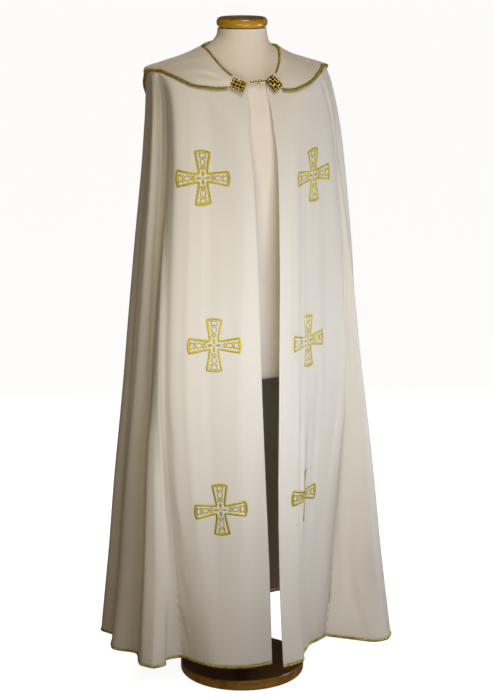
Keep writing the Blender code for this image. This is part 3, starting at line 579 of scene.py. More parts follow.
def new_thread(name, dark_hex, bright_hex, fleck_scale, metallic):
    """Metallised thread: bright flecks of film between darker twists."""
    made, tree, shader = new_material(name)
    place = add_node(tree, "TexCoord").outputs["Object"]
    flecks = add_node(tree, "TexNoise", {
        "Vector": place, "Scale": fleck_scale, "Detail": 2.0}).outputs["Fac"]
    colour = add_node(tree, "ValToRGB", {"Fac": flecks}, ((0.42, dark_hex), (0.60, bright_hex)))
    fibre_bump = add_node(tree, "Bump", {"Height": flecks, "Strength": 0.6, "Distance": 0.0002})
    feed(tree, shader, {
        "Base Color": colour.outputs["Color"], "Normal": fibre_bump.outputs["Normal"],
        "Metallic": metallic, "Roughness": 0.38})
    return made


GOLD_THREAD = new_thread("twisted gold thread", "#3E2C02", "#F8E05C", 1400.0, 0.75)
# The hem's thread is flatter and catches more light; its flecks are coarse enough to show.
HEM_THREAD = new_thread("flat gold thread", "#5E4A06", "#FFF27E", 420.0, 0.3)


def add_braid(name, node, thread, first, last, level_of, near_of, side, lift):
    """A twisted braid beside a level of the cloth: side is 1 below the level and -1 above it.

    near_of gives a second level, and the slope of the cloth is taken between the two.
    """
    centres, outwards, slopes = [], [], []
    for across in places_between(first, last, ROUTE_PER_FOLD):
        edge, near = level_of(across), near_of(across)
        on_edge, beside = cope_column(across, np.array([edge, near]))
        slope = (beside - on_edge) / np.linalg.norm(beside - on_edge) * (1 if near > edge else -1)
        behind = cope_column(max(across - NEARBY, 0), np.array([edge]))[0]
        ahead = cope_column(min(across + NEARBY, LEFT_EDGE), np.array([edge]))[0]
        outward = np.cross(ahead - behind, slope)
        outward /= np.linalg.norm(outward)
        centres.append(on_edge + slope * side * BRAID_SEAT + outward * lift)
        outwards.append(outward)
        slopes.append(slope)
    run = np.append(0, np.cumsum(np.linalg.norm(np.diff(centres, axis=0), axis=1)))
    steps = np.linspace(0, run[-1], int(run[-1] / TWIST_PITCH * STEPS_EACH_TURN) + 1)
    centres, outwards, slopes = (
        np.column_stack([np.interp(steps, run, values) for values in np.transpose(rows)])
        for rows in (centres, outwards, slopes))
    high, wide = BRAID_HIGH * (1 - STRAND_SHARE), BRAID_WIDE * (1 - STRAND_SHARE)
    strand_high, strand_wide = BRAID_HIGH * STRAND_SHARE, BRAID_WIDE * STRAND_SHARE
    builder = bmesh.new()
    for strand in range(STRANDS):
        rings = []
        for centre, outward, slope, step in zip(centres, outwards, slopes, steps):
            turn = math.tau * (step / TWIST_PITCH + strand / STRANDS)
            middle = centre + outward * high * math.cos(turn) + slope * wide * math.sin(turn)
            ring = []
            for corner in range(STRAND_SIDES):
                angle = math.tau * corner / STRAND_SIDES + turn
                ring.append(builder.verts.new(middle + outward * strand_high * math.cos(angle)
                                              + slope * strand_wide * math.sin(angle)))
            rings.append(ring)
        for ring, after in zip(rings, rings[1:]):
            for corner in range(STRAND_SIDES):
                other = (corner + 1) % STRAND_SIDES
                builder.faces.new((ring[corner], ring[other], after[other], after[corner]))
        builder.faces.new(rings[0][::-1])
        builder.faces.new(rings[-1])
    bmesh.ops.recalc_face_normals(builder, faces=builder.faces)
    mesh = bpy.data.meshes.new(name)
    builder.to_mesh(mesh)
    builder.free()
    made = add_mesh(name, mesh, thread)
    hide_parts(node)
    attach(made, "root")


add_braid("neck_braid", "capelet_neck_braid", GOLD_THREAD, BRAID_START, NECK_BRAID_END,
          level_of=lambda across: 0.0, near_of=lambda across: cape_level(across) * NECK_NEAR,
          side=-1, lift=NECK_BRAID_LIFT)
add_braid("cape_edge_braid", "capelet_edge_braid", GOLD_THREAD, BRAID_START, CAPE_BRAID_END,
          level_of=cape_level,
          near_of=lambda across: cape_level(across) * (1 - CAPE_NEAR) + HEM_LEVEL * CAPE_NEAR,
          side=1, lift=CAPE_BRAID_LIFT)
add_braid("hem_cord_braid", "hem_braid", HEM_THREAD, 0, LEFT_EDGE,
          level_of=lambda across: float(HEM_LEVEL), near_of=lambda across: HEM_LEVEL - HEM_NEAR,
          side=1, lift=-CLOTH_WALL / 2)

# ---------------------------------------------------------------- embroidered crosses
# Six plain crosses pattee in gold metal thread, machine-stitched onto the front bands: a
# satin-stitch outline round a chain of drops, rings, ovals and spools in each arm.

# Sizes in millimetres. What lies in an arm is given by where it starts or is centred, measured
# from the middle of the cross, by its length, and by its distance aside from the arm's line.
ARM_LONG = 57.5             # from the middle to an arm's end, at its corners
ARM_FOOT = 9.6              # half an arm's width where two arms meet
ARM_END = 17.0              # and at its end
ARM_FLARE = 1.2             # above 1 the arm widens more towards its end
END_CROWN = 3.2             # how far the middle of an arm's end bows out
CORNER_ROUND = 3.0
DROP_AT, DROP_LONG = 0.9, 15.4
BRACKET_AT, BRACKET_LONG, BRACKET_ASIDE, BRACKET_BOW = 17.6, 9.4, 6.0, 1.6
BRACKET_THIN = 0.85         # against the other fine lines
RING_AT, RING_RADIUS = 22.6, 2.9
OVAL_AT, OVAL_LONG, OVAL_WIDE = 35.6, 7.6, 5.6          # half its length and width
SPOOL_AT, SPOOL_LONG, SPOOL_ASIDE, SPOOL_FLARE, SPOOL_WAIST = 44.6, 10.6, 8.0, 1.2, 2.9
SPOOL_INNER_BOW, SPOOL_OUTER_BOW = 2.2, 0.9
OUTLINE_WIDE, OUTLINE_HIGH = 5.6, 1.0
FINE_WIDE, FINE_HIGH = 2.9, 0.7
DROP_WIDE, DROP_HIGH, DROP_TIP = 6.6, 1.5, 0.3
STITCH_PITCH = 0.5
STITCH_SLANT = 0.35         # of a stitch's width
STITCH_DIP = 0.72           # height between two stitches, against a stitch's own
# Across a stitch: places as shares of its width, and heights as shares of its height.
STITCH_SECTION = ((-0.5, -0.2), (-0.34, 0.75), (0, 1), (0.34, 0.75), (0.5, -0.2))
# Cloth that is mapped round the middle of a cross: metres, folds and levels each way.
PATCH_REACH, PATCH_FOLDS, PATCH_LEVELS = 0.075, 2.3, 0.8
PATCH_STEPS = 81
# Points that a line is drawn through before it is stitched.
ROUND_STEPS, LINE_STEPS, CROWN_STEPS, FLANK_STEPS, BEND_STEPS = 40, 12, 14, 20, 5

Cross = namedtuple("Cross", "name across level turn")
CROSSES = (
    Cross("right_upper_cross", 2.38, 5.80, 2.0), Cross("right_middle_cross", 1.84, 7.71, 1.0),
    Cross("right_lower_cross", 1.70, 9.28, 1.5), Cross("left_upper_cross", 33.58, 5.87, -1.0),
    Cross("left_middle_cross", 34.16, 7.76, -1.5), Cross("left_lower_cross", 34.30, 9.24, -1.0),
)


def turned(flat, angle):
    """Flat points turned about the middle of a cross, anticlockwise as it is seen."""
    cosine, sine = math.cos(angle), math.sin(angle)
    return flat @ np.array([[cosine, sine], [-sine, cosine]])


def arm_paths():
    """The stitched lines of the arm that points up: path, width, height, and closed or not."""
    turn = np.linspace(0, math.tau, ROUND_STEPS, endpoint=False)
    rise, across = np.linspace(0, 1, LINE_STEPS), np.linspace(-1, 1, CROWN_STEPS)
    bow, crown = np.sin(math.pi * rise), 1 - across ** 2
    closed_lines = [
        (OVAL_WIDE * np.sin(turn), OVAL_AT + OVAL_LONG * np.cos(turn)),
        (RING_RADIUS * np.sin(turn), RING_AT + RING_RADIUS * np.cos(turn)),
    ]
    paths = [(np.column_stack(line), FINE_WIDE, FINE_HIGH, True) for line in closed_lines]
    for side in (-1, 1):
        aside = side * (BRACKET_ASIDE - BRACKET_BOW * bow)
        bracket = np.column_stack([aside, BRACKET_AT + BRACKET_LONG * rise])
        paths.append((bracket, FINE_WIDE * BRACKET_THIN, FINE_HIGH, False))
        aside = side * (SPOOL_ASIDE + SPOOL_FLARE * rise - SPOOL_WAIST * bow)
        flank = np.column_stack([aside, SPOOL_AT + SPOOL_LONG * rise])
        paths.append((flank, FINE_WIDE, FINE_HIGH, False))
    inner = (SPOOL_ASIDE * across, SPOOL_AT + SPOOL_INNER_BOW * crown)
    outer = ((SPOOL_ASIDE + SPOOL_FLARE) * across, SPOOL_AT + SPOOL_LONG + SPOOL_OUTER_BOW * crown)
    paths += [(np.column_stack(line), FINE_WIDE, FINE_HIGH, False) for line in (inner, outer)]
    drop = np.column_stack([0 * rise, DROP_AT + DROP_LONG * rise])
    drop_wide = DROP_WIDE * np.sin(math.pi * rise ** 1.5) ** 0.8 + DROP_TIP
    paths.append((drop, drop_wide, DROP_HIGH, False))
    return paths


def outline_path():
    """The closed outline of the whole cross, arm after arm."""
    rise = np.linspace(0, 1, FLANK_STEPS)
    side = np.column_stack([ARM_FOOT + (ARM_END - ARM_FOOT) * rise ** ARM_FLARE,
                            ARM_FOOT + CORNER_ROUND + (ARM_LONG - ARM_FOOT - CORNER_ROUND) * rise])
    across = np.linspace(-1, 1, CROWN_STEPS)[1:-1]
    end = np.column_stack([ARM_END * across, ARM_LONG + END_CROWN * (1 - across ** 2)])
    bend = np.linspace(0, math.pi / 2, BEND_STEPS)[1:-1]
    corner = np.column_stack([ARM_FOOT + CORNER_ROUND * (1 - np.cos(bend)),
                              ARM_FOOT + CORNER_ROUND * (1 - np.sin(bend))])
    arm = np.concatenate([side * (-1, 1), end, side[::-1], corner])
    return np.concatenate([turned(arm, -quarter * math.pi / 2) for quarter in range(4)])


def stitched(path, wide, high, closed):
    """Satin stitch along a path: points as millimetres across, up and off the cloth, and faces."""
    wide = np.broadcast_to(wide, len(path)).astype(float)
    if closed:
        path, wide = np.concatenate([path, path[:1]]), np.append(wide, wide[0])
    run = np.append(0, np.cumsum(np.hypot(*np.diff(path, axis=0).T)))
    count = int(run[-1] / STITCH_PITCH) // 2 * 2
    steps = np.linspace(0, run[-1], count + 1)
    middle = np.column_stack([np.interp(steps, run, path[:, k]) for k in range(2)])
    width = np.interp(steps, run, wide)
    ahead = np.gradient(middle, axis=0)
    if closed:
        middle, width, ahead = middle[:-1], width[:-1], ahead[:-1]
        ahead[0] = middle[1] - middle[-1]
    ahead /= np.hypot(*ahead.T)[:, None]
    aside = np.column_stack([-ahead[:, 1], ahead[:, 0]])
    ridge = np.where(np.arange(len(middle)) % 2, STITCH_DIP, 1.0)
    rows = []
    for share, arch in STITCH_SECTION:
        flat = middle + (aside + ahead * STITCH_SLANT) * (share * width)[:, None]
        rows.append(np.column_stack([flat, high * arch * ridge * np.minimum(width / FINE_WIDE, 1)]))
    points = np.stack(rows, axis=1)
    long = len(middle)
    index = np.arange(long * len(rows)).reshape(long, len(rows))
    after = np.roll(index, -1, axis=0)
    if not closed:
        index, after = index[:-1], after[:-1]
    faces = np.stack([index[:, 1:], after[:, 1:], after[:, :-1], index[:, :-1]], axis=2)
    return points.reshape(-1, 3), faces.reshape(-1, 4)


def cloth_patch(cross, seed):
    """A function from millimetres across and up from a cross's middle to the cloth there.

    It gives points on the cloth and the directions in which the cloth faces. The grid's lines
    meet at a slant in the folds, and a shear by that slant keeps the cross square.
    """
    first, last = max(cross.across - PATCH_FOLDS, 0), min(cross.across + PATCH_FOLDS, LEFT_EDGE)
    places = np.linspace(first, last, PATCH_STEPS)
    rows = np.linspace(cross.level - PATCH_LEVELS, cross.level + PATCH_LEVELS, PATCH_STEPS)
    points = cope_surface(places, lambda across: rows, seed)
    outward, along, down = directions(points)
    centre = np.abs(places - cross.across).argmin()
    skew = (along[centre, PATCH_STEPS // 2] * down[centre, PATCH_STEPS // 2]).sum()
    fall = lengths(points, 1)[centre]
    fall -= np.interp(cross.level, rows, fall)
    run = lengths(points, 0)
    run -= np.array([np.interp(cross.across, places, column) for column in run.T])[None, :]
    reach = np.linspace(-PATCH_REACH, PATCH_REACH, PATCH_STEPS)
    table = np.zeros((PATCH_STEPS, PATCH_STEPS, 6))
    both = np.concatenate([points, outward], axis=2)
    for j, up in enumerate(reach):
        at = np.interp(-up, fall, np.arange(PATCH_STEPS))
        low = min(int(at), PATCH_STEPS - 2)
        share = at - low
        line = both[:, low] * (1 - share) + both[:, low + 1] * share
        line_run = run[:, low] * (1 - share) + run[:, low + 1] * share
        for k in range(6):
            table[:, j, k] = np.interp(-reach, line_run, line[:, k])

    def on_cloth(flat):
        sideways, upwards = flat.T
        square = np.column_stack([sideways / math.sqrt(1 - skew ** 2), upwards - sideways * skew])
        at = (square / 1000 + PATCH_REACH) / (2 * PATCH_REACH) * (PATCH_STEPS - 1)
        low = np.clip(at.astype(int), 0, PATCH_STEPS - 2)
        (i, j), (s, t) = low.T, (at - low).T[..., None]
        found = ((table[i, j] * (1 - s) + table[i + 1, j] * s) * (1 - t)
                 + (table[i, j + 1] * (1 - s) + table[i + 1, j + 1] * s) * t)
        return found[:, :3], found[:, 3:]

    return on_cloth


# Metallised thread: a bright film twisted round a core yarn, gleaming across each stitch.
GOLD_STITCH, tree, shader = new_material("gold thread embroidery")
place = add_node(tree, "TexCoord").outputs["Object"]
flecks = add_node(tree, "TexNoise", {"Vector": place, "Scale": 900.0, "Detail": 2.0})
colour = add_node(tree, "ValToRGB", {"Fac": flecks.outputs["Fac"]},
                  ((0.30, "#6E5E00"), (0.66, "#E8D416")))
feed(tree, shader, {"Base Color": colour.outputs["Color"], "Metallic": 0.35, "Roughness": 0.36})


def add_cross(cross):
    """One cross, its stitches bent to the cloth that it is worked on."""
    seed = RIGHT_FRONT_SEED if cross.across < RIGHT_SEAM else LEFT_FRONT_SEED
    on_cloth = cloth_patch(cross, seed)
    lines = [(outline_path(), OUTLINE_WIDE, OUTLINE_HIGH, True)]
    for quarter in range(4):
        lines += [(turned(path, -quarter * math.pi / 2), wide, high, closed)
                  for path, wide, high, closed in arm_paths()]
    all_points, all_faces, count = [], [], 0
    for line in lines:
        points, faces = stitched(*line)
        all_points.append(points)
        all_faces.append(faces + count)
        count += len(points)
    flat, faces = np.concatenate(all_points), np.concatenate(all_faces)
    base, outward = on_cloth(turned(flat[:, :2], math.radians(cross.turn)))
    mesh = bpy.data.meshes.new(cross.name)
    mesh.from_pydata((base + outward * flat[:, 2:] / 1000).tolist(), [], faces.tolist())
    made = add_mesh(cross.name, mesh, GOLD_STITCH)
    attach(made, "root")


for cross in CROSSES:
    add_cross(cross)

# ---------------------------------------------------------------- clasp
# Two oblong plates of brass filigree sewn on the capelet's ends: ribbons of two round wires woven
# both ways in a soldered tray, a grain on each crossing, and painted shade that makes the hollows
# nearly black.
# Five oval links and a heart-shaped hook join them.
PLATE_LONG, PLATE_SHORT = 0.0345, 0.0275
PLATE_THICK = 0.003
PLATE_LIFT = 0.0043         # underside of a plate above the cope
TRAY_FLOOR = 0.0010
TRAY_RIM = 0.0010
TRAY_ROUND = 0.0003
RIBBONS_ALONG, RIBBONS_ACROSS = 3, 4   # ribbons that run along the plate, and across it
RIBBON_WIRES = 2
RIBBON_WIRE = 0.00060       # half a wire's thickness
RIBBON_STEP = 0.00130       # from one wire of a ribbon to the next
WEAVE_HIGH = 0.0006         # how far a ribbon rises and dips
WEAVE_MIDDLE = -0.0004      # from the tray's rim
WEAVE_STEPS = 6             # points of a wire from one crossing to the next
GRAIN_RADIUS, GRAIN_RISE = 0.0012, 0.0001
CHAIN_WIRE = 0.00085        # half the wire's thickness
CHAIN_WIDTH = 0.0066
LINK_STEPS = 48
LINK_SQUARENESS = 0.8
HEART_HEIGHT = 0.006
HEART_FLANK, HEART_POINT, HEART_NOTCH = 0.1, 0.25, 0.1
# Heights, from a plate's rim or a link's middle, where the painted shade is full and where it ends
# and the gilt shows bright. On a link the painted shade darkens one side.
FULL_SHADE_LOW, PLATE_BRIGHT, LINK_BRIGHT = -0.0014, 0.0007, 0.0010
INNER_LONG, INNER_SHORT = PLATE_LONG - 2 * TRAY_RIM, PLATE_SHORT - 2 * TRAY_RIM

Plate = namedtuple("Plate", "name node level angle turn")
PLATES = (
    Plate("right_filigree_plate", "clasp_plate_right", 0.52, -18.5, -25),
    Plate("left_filigree_plate", "clasp_plate_left", 0.64, 22.8, -56),
)

# Gilt brass, darkened with painted shade the lower it lies: nearly black in the hollows, bright gilt
# on the highest wires.
FILIGREE_BRASS, tree, shader = new_material("gilt brass with painted shade")
height = add_node(tree, "Attribute", attribute_name="height")
place = add_node(tree, "TexCoord").outputs["Object"]
stains = add_node(tree, "TexNoise", {"Vector": place, "Scale": 420.0, "Detail": 3.0})
# Random stains, with painted shade that deepens the lower a point lies.
stains_and_shade = add_node(tree, "Math", {0: stains.outputs["Fac"], 1: 0.5, 2: height.outputs["Fac"]},
                   operation="MULTIPLY_ADD")
colour = add_node(tree, "ValToRGB", {"Fac": stains_and_shade.outputs["Value"]},
                  ((0.68, "#0A0703"), (0.98, "#FFDE70")))
gloss = add_node(tree, "MapRange", {
    "Value": stains_and_shade.outputs["Value"], "From Min": 0.4, "From Max": 1.1,
    "To Min": 0.65, "To Max": 0.24})
feed(tree, shader, {
    "Base Color": colour.outputs["Color"], "Roughness": gloss.outputs["Result"], "Metallic": 0.8})


def with_height(mesh, bright):
    """Stores how high each vertex stands, from 0 in full painted shade to 1 where the gilt shows
    bright.
    """
    heights = [min(max((vertex.co.z - FULL_SHADE_LOW) / (bright - FULL_SHADE_LOW), 0), 1)
               for vertex in mesh.vertices]
    mesh.attributes.new("height", "FLOAT", "POINT").data.foreach_set("value", heights)


def wire_object(name, paths, radius, closed=False):
    """Round wire along each path, as a mesh object that is selected and active."""
    curve = bpy.data.curves.new(name, "CURVE")
    curve.dimensions = "3D"
    curve.bevel_depth = radius
    curve.bevel_resolution = 2
    curve.use_fill_caps = not closed
    for path in paths:
        spline = curve.splines.new("POLY")
        spline.points.add(len(path) - 1)
        spline.points.foreach_set("co", [value for point in path for value in (*point, 1.0)])
        spline.use_cyclic_u = closed
    made = bpy.data.objects.new(name, curve)
    bpy.context.scene.collection.objects.link(made)
    bpy.ops.object.select_all(action="DESELECT")
    made.select_set(True)
    bpy.context.view_layer.objects.active = made
    bpy.ops.object.convert(target="MESH")
    bpy.ops.object.shade_smooth()
    return bpy.context.object


def ring_frame(level, angle):
    """A point of the unfolded cope with its directions: outward, and down the cloth."""
    step = 0.02

    def at(level_here, angle_here):
        return ring_point(np.array([level_here]), np.array([angle_here]), 0.0)[0]

    down_here = Vector(at(level + step, angle) - at(max(level - step, 0), angle)).normalized()
    leftward = Vector(at(level, angle + step) - at(level, angle - step))
    return Vector(at(level, angle)), down_here.cross(leftward).normalized(), down_here


def plate_place(plate):
    """Where a plate lies: its middle, its long and short sides and the way that it faces."""
    point, facing = ring_frame(plate.level, math.radians(plate.angle))[:2]
    sideways = Vector((0, 0, 1)).cross(facing).normalized()
    long_side = Matrix.Rotation(math.radians(plate.turn), 3, facing) @ sideways
    axes = Matrix((long_side, facing.cross(long_side), facing)).transposed()
    return Matrix.Translation(point + facing * (PLATE_LIFT + PLATE_THICK)) @ axes.to_4x4()


def ribbon_paths():
    """The woven wires inside the tray, first those along the plate, then those across it."""
    pitch_long, pitch_short = INNER_LONG / RIBBONS_ACROSS, INNER_SHORT / RIBBONS_ALONG
    paths = []
    for count, others, length, pitch, side_pitch, sign in (
            (RIBBONS_ALONG, RIBBONS_ACROSS, INNER_LONG, pitch_long, pitch_short, 1),
            (RIBBONS_ACROSS, RIBBONS_ALONG, INNER_SHORT, pitch_short, pitch_long, -1)):
        for ribbon in range(count):
            middle = (ribbon - (count - 1) / 2) * side_pitch
            for wire in range(RIBBON_WIRES):
                offset = middle + (wire - (RIBBON_WIRES - 1) / 2) * RIBBON_STEP
                path = []
                for run in np.linspace(-length / 2, length / 2, WEAVE_STEPS * others + 1):
                    phase = math.pi * ((run + length / 2) / pitch - 0.5 + ribbon)
                    rise = WEAVE_MIDDLE + sign * WEAVE_HIGH * math.cos(phase)
                    path.append((run, offset, rise) if sign == 1 else (offset, run, rise))
                paths.append(path)
    return paths


def add_filigree(plate):
    """One plate: a shallow tray, its woven ribbons and the grains, joined and laid in place."""
    bpy.ops.mesh.primitive_cube_add(size=1, location=(0, 0, -PLATE_THICK / 2))
    tray = bpy.context.object
    tray.name = plate.name
    tray.dimensions = (PLATE_LONG, PLATE_SHORT, PLATE_THICK)
    bpy.ops.object.transform_apply(location=True, rotation=False, scale=True)
    bpy.ops.object.mode_set(mode="EDIT")
    bpy.ops.mesh.select_all(action="DESELECT")
    bpy.ops.mesh.select_mode(type="FACE")
    shape = bmesh.from_edit_mesh(tray.data)
    for face in shape.faces:
        face.select = face.normal.z > 0.5
    bpy.ops.mesh.inset(thickness=TRAY_RIM)
    bpy.ops.mesh.extrude_region_move(
        TRANSFORM_OT_translate={"value": (0, 0, TRAY_FLOOR - PLATE_THICK)})
    bpy.ops.object.mode_set(mode="OBJECT")
    edges = tray.modifiers.new("edges", "BEVEL")
    edges.width = TRAY_ROUND
    edges.segments = 2
    bpy.ops.object.modifier_apply(modifier=edges.name)
    parts = [tray, wire_object("woven wires", ribbon_paths(), RIBBON_WIRE)]
    for i in range(RIBBONS_ACROSS):
        for j in range(RIBBONS_ALONG):
            spot = (INNER_LONG * ((i + 0.5) / RIBBONS_ACROSS - 0.5),
                    INNER_SHORT * ((j + 0.5) / RIBBONS_ALONG - 0.5), GRAIN_RISE)
            bpy.ops.mesh.primitive_ico_sphere_add(subdivisions=2, radius=GRAIN_RADIUS, location=spot)
            bpy.ops.object.shade_smooth()
            parts.append(bpy.context.object)
    bpy.ops.object.select_all(action="DESELECT")
    for part in parts:
        part.select_set(True)
    bpy.context.view_layer.objects.active = tray
    bpy.ops.object.join()
    with_height(tray.data, PLATE_BRIGHT)
    tray.data.transform(plate_place(plate))
    tray.data.materials.clear()
    tray.data.materials.append(FILIGREE_BRASS)
    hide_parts(plate.node)
    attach(tray, "root")


for plate in PLATES:
    add_filigree(plate)


def link_outline(turn, half_long, half_wide):
    """A long oval: where its wire is at a turn round it."""
    cosine, sine = math.cos(turn), math.sin(turn)
    return (half_long * math.copysign(abs(cosine) ** LINK_SQUARENESS, cosine),
            half_wide * math.copysign(abs(sine) ** LINK_SQUARENESS, sine))


def heart_outline(turn, half_long, half_wide):
    """A heart, widest on the chain's line, with its point down and no bend tighter than its wire."""
    reach = (math.sin(turn) - HEART_FLANK * math.sin(3 * turn)) / (1 + HEART_FLANK)
    rise = (math.cos(turn) - HEART_POINT * (math.cos(2 * turn) + 1)
            - HEART_NOTCH * math.cos(3 * turn))
    return half_long * reach, half_wide * rise


CHAIN = ("clasp_link_1", "clasp_link_2", "clasp_link_3", "clasp_link_4", "clasp_heart_hook",
         "clasp_link_5")
right_place, left_place = [plate_place(plate) for plate in PLATES]
corner = Vector((PLATE_LONG, PLATE_SHORT, -PLATE_THICK)) / 2
chain_start = right_place @ corner
chain_end = left_place @ Vector((-corner.x, -corner.y, corner.z))
ahead = (chain_end - chain_start).normalized()
facing = (right_place.col[2] + left_place.col[2]).xyz
facing = (facing - ahead * facing.dot(ahead)).normalized()
overlap = 4 * CHAIN_WIRE + 1.5 * SEWN_GAP       # of two links that hang in each other
room = (chain_end - chain_start).length - 2 * SEWN_GAP
length = (room + (len(CHAIN) - 1) * overlap) / len(CHAIN)
for index, node in enumerate(CHAIN):
    middle = chain_start + ahead * (SEWN_GAP + length / 2 + index * (length - overlap))
    outline, half_wide = link_outline, CHAIN_WIDTH / 2 - CHAIN_WIRE
    face = facing if index % 2 == 0 else facing.cross(ahead)
    if node == "clasp_heart_hook":
        outline, half_wide = heart_outline, HEART_HEIGHT
    path = []
    for step in range(LINK_STEPS):
        path.append((*outline(math.tau * step / LINK_STEPS, length / 2 - CHAIN_WIRE, half_wide), 0))
    link = wire_object(node.replace("clasp", "brass"), [path], CHAIN_WIRE, closed=True)
    with_height(link.data, LINK_BRIGHT)
    link.data.transform(Matrix.Translation(middle)
                        @ Matrix((ahead, face.cross(ahead), face)).transposed().to_4x4())
    link.data.materials.append(FILIGREE_BRASS)
    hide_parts(node)
    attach(link, "root")

# ---------------------------------------------------------------- dress form: linen bust
# A padded limbless bust, covered with unbleached linen drawn tight from under the cap to the
# underside. The cope's shoulders rest on it, and the pole carries it.
CLOTH_OFF_BUST = CLOTH_WALL + 0.0017    # from the cope's outer side down to the linen
NECK_FOOT = 0.008           # height of the neck's foot above the cope's neckline
BUST_COLUMNS, BUST_ROWS_EACH = 96, 7
NECK_RINGS = (
    Ring("top", 0.0565, 0.0565, 0.0565, 1.5750, 1.5750, 1.5750, 0.0, 2.0),
    Ring("neck", 0.0580, 0.0590, 0.0580, 1.5620, 1.5450, 1.5640, 0.0, 2.0),
    Ring("throat", 0.0665, 0.0800, 0.0640, 1.5440, 1.5000, 1.5510, -0.003, 2.0),
)
SHOULDER_LEVELS = (0, 0.5, 1.0, 1.5, 2.0)
BODY_RINGS = (
    Ring("shoulder end", 0.187, 0.1245, 0.103, 1.486, 1.396, 1.466, -0.002, 2.4),
    Ring("armhole top", 0.191, 0.1285, 0.108, 1.455, 1.365, 1.430, 0.0, 2.4),
    Ring("armhole", 0.185, 0.132, 0.111, 1.390, 1.330, 1.370, 0.0, 2.4),
    Ring("bust", 0.172, 0.130, 0.110, 1.280, 1.260, 1.280, 0.0, 2.3),
    Ring("ribs", 0.154, 0.119, 0.104, 1.150, 1.150, 1.150, 0.0, 2.2),
    Ring("waist", 0.138, 0.107, 0.098, 1.000, 1.000, 1.000, 0.0, 2.1),
    Ring("hips", 0.156, 0.113, 0.110, 0.880, 0.880, 0.880, 0.0, 2.1),
    Ring("seat", 0.162, 0.114, 0.113, 0.785, 0.785, 0.785, 0.0, 2.1),
    Ring("seat edge", 0.156, 0.108, 0.107, 0.765, 0.765, 0.765, 0.0, 2.1),
    Ring("underside", 0.140, 0.094, 0.093, 0.760, 0.760, 0.760, 0.0, 2.1),
)


def plain_ring_point(ring, angle):
    """A point of one named ring at an angle from the front."""
    sine, cosine = math.sin(angle), math.cos(angle)
    depth, z_end = (ring.front, ring.z_front) if cosine > 0 else (ring.back, ring.z_back)
    reach = (abs(sine / ring.side) ** ring.corner
             + abs(cosine / depth) ** ring.corner) ** (-1 / ring.corner)
    return Vector((ring.shift + reach * sine, -reach * cosine,
                   ring.z_side + (z_end - ring.z_side) * cosine ** 2))


def shoulder_point(level, angle, upward=0.0):
    """A point of the form just under the cloth that lies on its shoulders, or up from there."""
    point, facing_out, down_here = ring_frame(level, angle)
    return point - facing_out * CLOTH_OFF_BUST - down_here * upward


builder = bmesh.new()
bust_columns = []
for step in range(BUST_COLUMNS):
    turn = math.tau * step / BUST_COLUMNS
    column = [plain_ring_point(ring, turn) for ring in NECK_RINGS]
    column += [shoulder_point(0, turn, NECK_FOOT)]
    column += [shoulder_point(level, turn) for level in SHOULDER_LEVELS]
    column += [plain_ring_point(ring, turn) for ring in BODY_RINGS]
    finer = np.linspace(0, len(column) - 1, (len(column) - 1) * BUST_ROWS_EACH + 1)
    smooth = flow(range(len(column)), np.array(column), finer)
    bust_columns.append([builder.verts.new(point) for point in smooth])
for column, beside in zip(bust_columns, bust_columns[1:] + bust_columns[:1]):
    for row in range(len(column) - 1):
        builder.faces.new((column[row], column[row + 1], beside[row + 1], beside[row]))
builder.faces.new([column[0] for column in bust_columns])
builder.faces.new([column[-1] for column in bust_columns])
bmesh.ops.recalc_face_normals(builder, faces=builder.faces)
mesh = bpy.data.meshes.new("form_linen_bust")
builder.to_mesh(mesh)
builder.free()

# Linen: a plain weave of uneven yarns, dry and matt, faintly mottled.
WARP_CELLS, WEFT_CELLS = (1500, 1500, 220), (180, 180, 1500)       # of noise to a metre
LINEN, tree, shader = new_material("unbleached linen")
place = add_node(tree, "TexCoord").outputs["Object"]
yarns = []
for cells in (WARP_CELLS, WEFT_CELLS):
    lie = add_node(tree, "Mapping", {"Vector": place, "Scale": cells})
    yarns.append(add_node(tree, "TexNoise", {
        "Vector": lie.outputs["Vector"], "Scale": 1.0, "Detail": 2.0}).outputs["Fac"])
weave = add_node(tree, "Math", {0: yarns[0], 1: yarns[1]}, operation="ADD")
weave_bump = add_node(tree, "Bump", {
    "Height": weave.outputs["Value"], "Strength": 0.6, "Distance": 0.0004})
mottle = add_node(tree, "TexNoise", {"Vector": place, "Scale": 26.0, "Detail": 4.0})
tint = add_node(tree, "MixRGB", {
    "Fac": mottle.outputs["Fac"], "Color1": linear("#F6EADA"), "Color2": linear("#FBF2E6")})
feed(tree, shader, {
    "Base Color": tint.outputs["Color"], "Normal": weave_bump.outputs["Normal"],
    "Roughness": 0.86, "Specular IOR Level": 0.25, "Sheen Weight": 0.1})
bust = add_mesh("form_linen_bust", mesh, LINEN)
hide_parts("form_bust")
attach(bust, "root")

# ---------------------------------------------------------------- dress form: cap, pole and base
# Turned wood: a golden varnished disc on the neck, a round pole, and a dark stained disc on the
# floor, glued up from boards. The discs' top faces are darkened with painted shade.
TOP_PAINTED_SHADE = "#94806E"         # painted shade on a top face: what it leaves of the colour
RING_CELLS = (1.2, 9.0, 4.0)            # how the growth rings are drawn out, along the grain first
PORE_CELLS = (60, 1100, 1100)           # of noise to a metre, coarser than pores so that they show
TURNED_SIDES, RIM_STEPS = 128, 6
SHARP_RIM, SMOOTH_BELOW = math.radians(60), math.radians(35)


